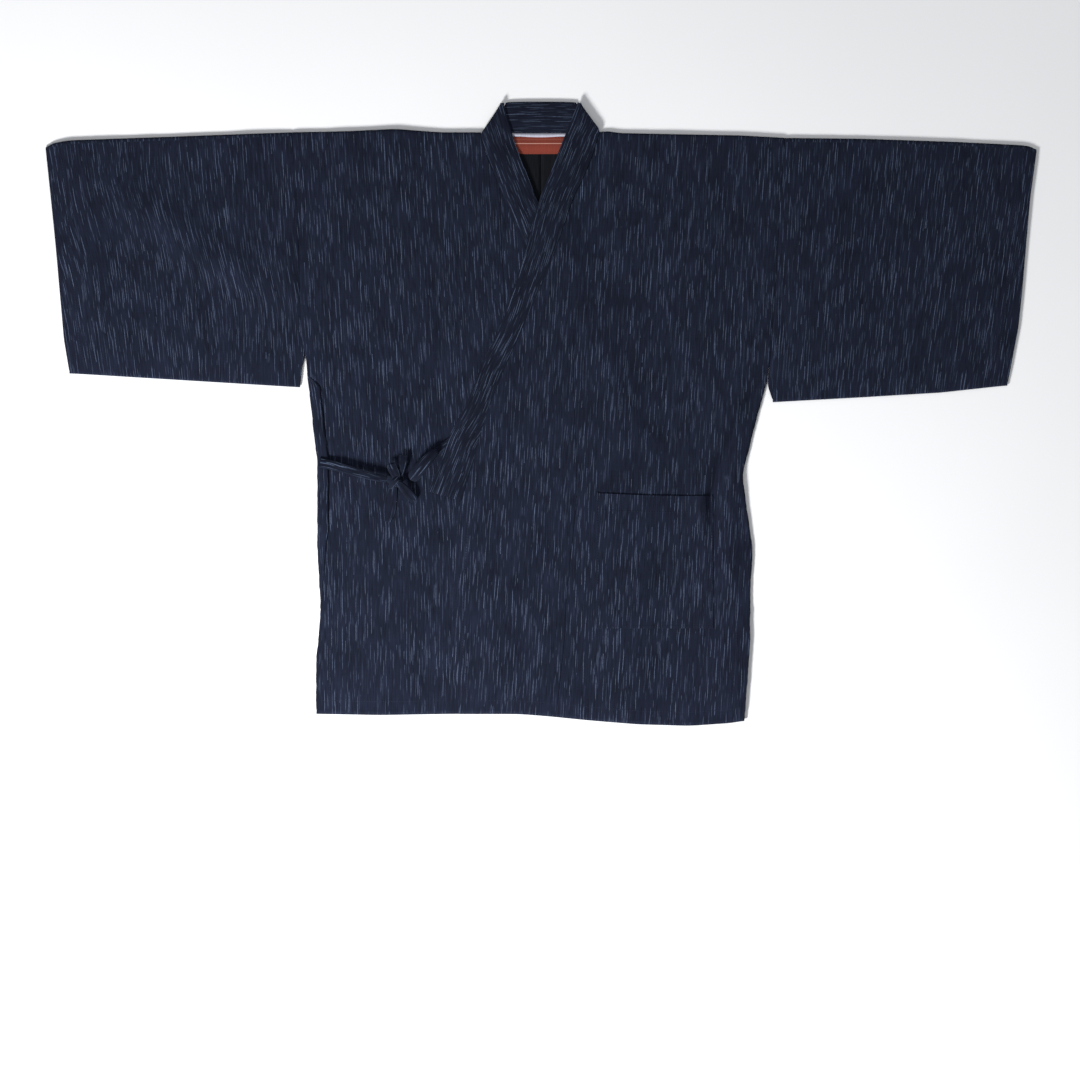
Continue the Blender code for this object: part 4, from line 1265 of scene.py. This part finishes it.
def bar_tack(verts, faces, x, y, height, tall=8.0, wide=2.0):
    """A close-set bar of thread across a seam's end."""
    for step in np.arange(-tall / 2, tall / 2, 0.55):
        stitch_row(verts, faces, [(x - wide / 2 - 3, y + step), (x + wide / 2 + 3, y + step)],
                   height, 3.0, wide, 0.5)


class JINBEI_OT_stitches(bpy.types.Operator):
    """Hems, slit facings, pocket seams and bar tacks, as real stitches"""
    bl_idname = "jinbei.stitches"
    bl_label = "Stitches"

    def execute(self, context):
        cloth = context.scene.jinbei_cloth
        proud = cloth.wall / MM / 2 + 0.05
        pitch = cloth.stitch_pitch / MM
        verts, faces = [], []

        def left(x, y):
            return left_height(x, y, cloth) + proud

        def right(x, y):
            return right_height(x, y, cloth) + proud

        def arm(x, y):
            return Z_FRONT + relief(x, y, cloth) + proud - 0.1

        def row(route, height, length=2.3, girth=0.42):
            stitch_row(verts, faces, route, height, pitch, length, girth)

        for low, high, height in ((-276, -118, right), (-96, 17, left), (22, 250, left)):
            x = np.linspace(low, high, 40)
            row(list(zip(x, -(read(HEM, x, 10) - 17.0))), height)
        y = np.linspace(-615, -706, 20)
        row([(-read(SIDE_RIGHT, -level, 8) + 17.0, level) for level in y], right)
        row([(read(SIDE_LEFT, -level, 8) - 17.0, level) for level in y], left)
        y = np.linspace(-478, -706, 24)
        row([(read(FRONT_EDGE, -level, 4) + 14.0, level) for level in y], left)
        for side, cuff, low, high in ((-1, CUFF_RIGHT, 30, 288), (1, CUFF_LEFT, 34, 304)):
            y = -np.linspace(low, high, 24)
            row([(side * (read(cuff, -level, 4) - 19.0), level) for level in y], arm)

        def on_pocket(x, y):
            across = (x - POCKET["left"]) / (POCKET["right"] - POCKET["left"])
            fall = np.clip((POCKET["top"] - y) / (POCKET["top"] - POCKET["foot"]), 0, 1)
            return pocket_height(x, y, across, fall, cloth) + proud
        edge = [pocket_spot(0.013, 0.02), pocket_spot(0.013, 0.985), pocket_spot(0.987, 0.985),
                pocket_spot(0.987, 0.02)]
        row(edge, on_pocket, 2.2, 0.36)
        row([pocket_spot(share, 0.124) for share in np.linspace(0.02, 0.98, 20)], on_pocket, 2.2, 0.36)
        for share in (0.012, 0.988):
            x, y = pocket_spot(share, 0.02)
            bar_tack(verts, faces, x, y, on_pocket)
        bar_tack(verts, faces, -297.0, -283.0, arm, 5.0, 2.0)
        bar_tack(verts, faces, 284.5, -312.0, arm, 5.0, 2.0)

        mesh = bpy.data.meshes.new("seam_stitches")
        mesh.from_pydata(verts, [], faces)
        place_piece(show("seam_stitches", mesh, (thread_material(cloth),)), "kasuri_cotton")
        return {"FINISHED"}


# ---------------------------------------------------------------- stage
FLOOR_LEVEL = -0.0004   # m, just under the cloth


def soft_lamp(name, size, energy, place, aim, colour=(1.0, 1.0, 1.0)):
    data = bpy.data.lights.new(name, "AREA")
    data.shape = "DISK"
    data.size = size
    data.energy = energy
    data.color = colour
    lamp = bpy.data.objects.new(name, data)
    lamp.location = place
    lamp.rotation_euler = (Vector(aim) - Vector(place)).to_track_quat("-Z", "Y").to_euler()
    bpy.context.scene.collection.objects.link(lamp)
    return lamp


def floor_material(stage):
    """Matt painted board, very slightly uneven."""
    material = bpy.data.materials.new("pale_floor")
    material.use_nodes = True
    tree = material.node_tree
    shader = tree.nodes["Principled BSDF"]
    w = Wires(tree)
    place = tree.nodes.new("ShaderNodeTexCoord").outputs["Object"]
    mottle = w.ramp(w.noise(place, 3.0, 2.0), 0.3, 0.7, 0.985, 1.0)
    tree.links.new(w.blend(1.0, tuple(stage.floor), mottle, "MULTIPLY"), shader.inputs["Base Color"])
    shader.inputs["Roughness"].default_value = 0.9
    shader.inputs["Specular IOR Level"].default_value = 0.1
    return material


class JINBEI_OT_stage(bpy.types.Operator):
    """Pale floor, soft lamps and a camera that looks straight down"""
    bl_idname = "jinbei.stage"
    bl_label = "Stage"

    def execute(self, context):
        stage = context.scene.jinbei_stage
        half = stage.floor_size / 2
        mesh = bpy.data.meshes.new("floor")
        corners = [(-half, -half), (half, -half), (half, half), (-half, half)]
        mesh.from_pydata([(x, y, FLOOR_LEVEL) for x, y in corners], [], [(0, 1, 2, 3)])
        mesh.materials.append(floor_material(stage))
        floor = bpy.data.objects.new("floor", mesh)
        context.scene.collection.objects.link(floor)

        centre = Vector((ORIGIN_X, ORIGIN_Y - 0.36, 0.0))
        soft_lamp("key", 0.55, stage.key_energy, centre + Vector((-1.20, -1.72, 1.10)), centre)
        soft_lamp("fill", 3.0, stage.fill_energy, centre + Vector((0.5, 0.7, 3.4)), centre,
                  (0.93, 0.96, 1.0))
        world = bpy.data.worlds.new("studio")
        world.use_nodes = True
        backdrop = world.node_tree.nodes["Background"]
        backdrop.inputs["Color"].default_value = (0.96, 0.98, 1.0, 1.0)
        backdrop.inputs["Strength"].default_value = stage.sky
        context.scene.world = world

        data = bpy.data.cameras.new("overhead")
        data.sensor_width = 36.0
        data.lens = data.sensor_width * stage.camera_height / stage.view_width
        camera = bpy.data.objects.new("overhead", data)
        frame_middle = (-1.25 * MM, -508.75 * MM)
        camera.location = (ORIGIN_X + frame_middle[0], ORIGIN_Y + frame_middle[1], stage.camera_height)
        context.scene.collection.objects.link(camera)
        context.scene.camera = camera
        context.scene.view_settings.view_transform = "Standard"
        return {"FINISHED"}


# ---------------------------------------------------------------- panel and running order
STEPS = (JINBEI_OT_body, JINBEI_OT_okumi, JINBEI_OT_sleeves, JINBEI_OT_neckband, JINBEI_OT_pocket,
         JINBEI_OT_label, JINBEI_OT_ties, JINBEI_OT_stitches, JINBEI_OT_stage)


class JINBEI_PT_panel(bpy.types.Panel):
    """Lists the jacket's pieces in the order they are made"""
    bl_label = "Jinbei top"
    bl_idname = "JINBEI_PT_panel"
    bl_space_type = "VIEW_3D"
    bl_region_type = "UI"
    bl_category = "Jinbei"

    def draw(self, context):
        for group in (context.scene.jinbei_cloth, context.scene.jinbei_stage):
            for name in group.bl_rna.properties.keys():
                if name not in {"rna_type", "name"}:
                    self.layout.prop(group, name)
        for step in STEPS:
            self.layout.operator(step.bl_idname)


CLASSES = (JinbeiCloth, JinbeiStage, *STEPS, JINBEI_PT_panel)


def register():
    for item in CLASSES:
        bpy.utils.register_class(item)
    bpy.types.Scene.jinbei_cloth = bpy.props.PointerProperty(type=JinbeiCloth)
    bpy.types.Scene.jinbei_stage = bpy.props.PointerProperty(type=JinbeiStage)


def unregister():
    del bpy.types.Scene.jinbei_stage
    del bpy.types.Scene.jinbei_cloth
    for item in reversed(CLASSES):
        bpy.utils.unregister_class(item)


def main():
    register()
    for step in STEPS:
        space, name = step.bl_idname.split(".")
        getattr(getattr(bpy.ops, space), name)()


if __name__ == "__main__":
    main()
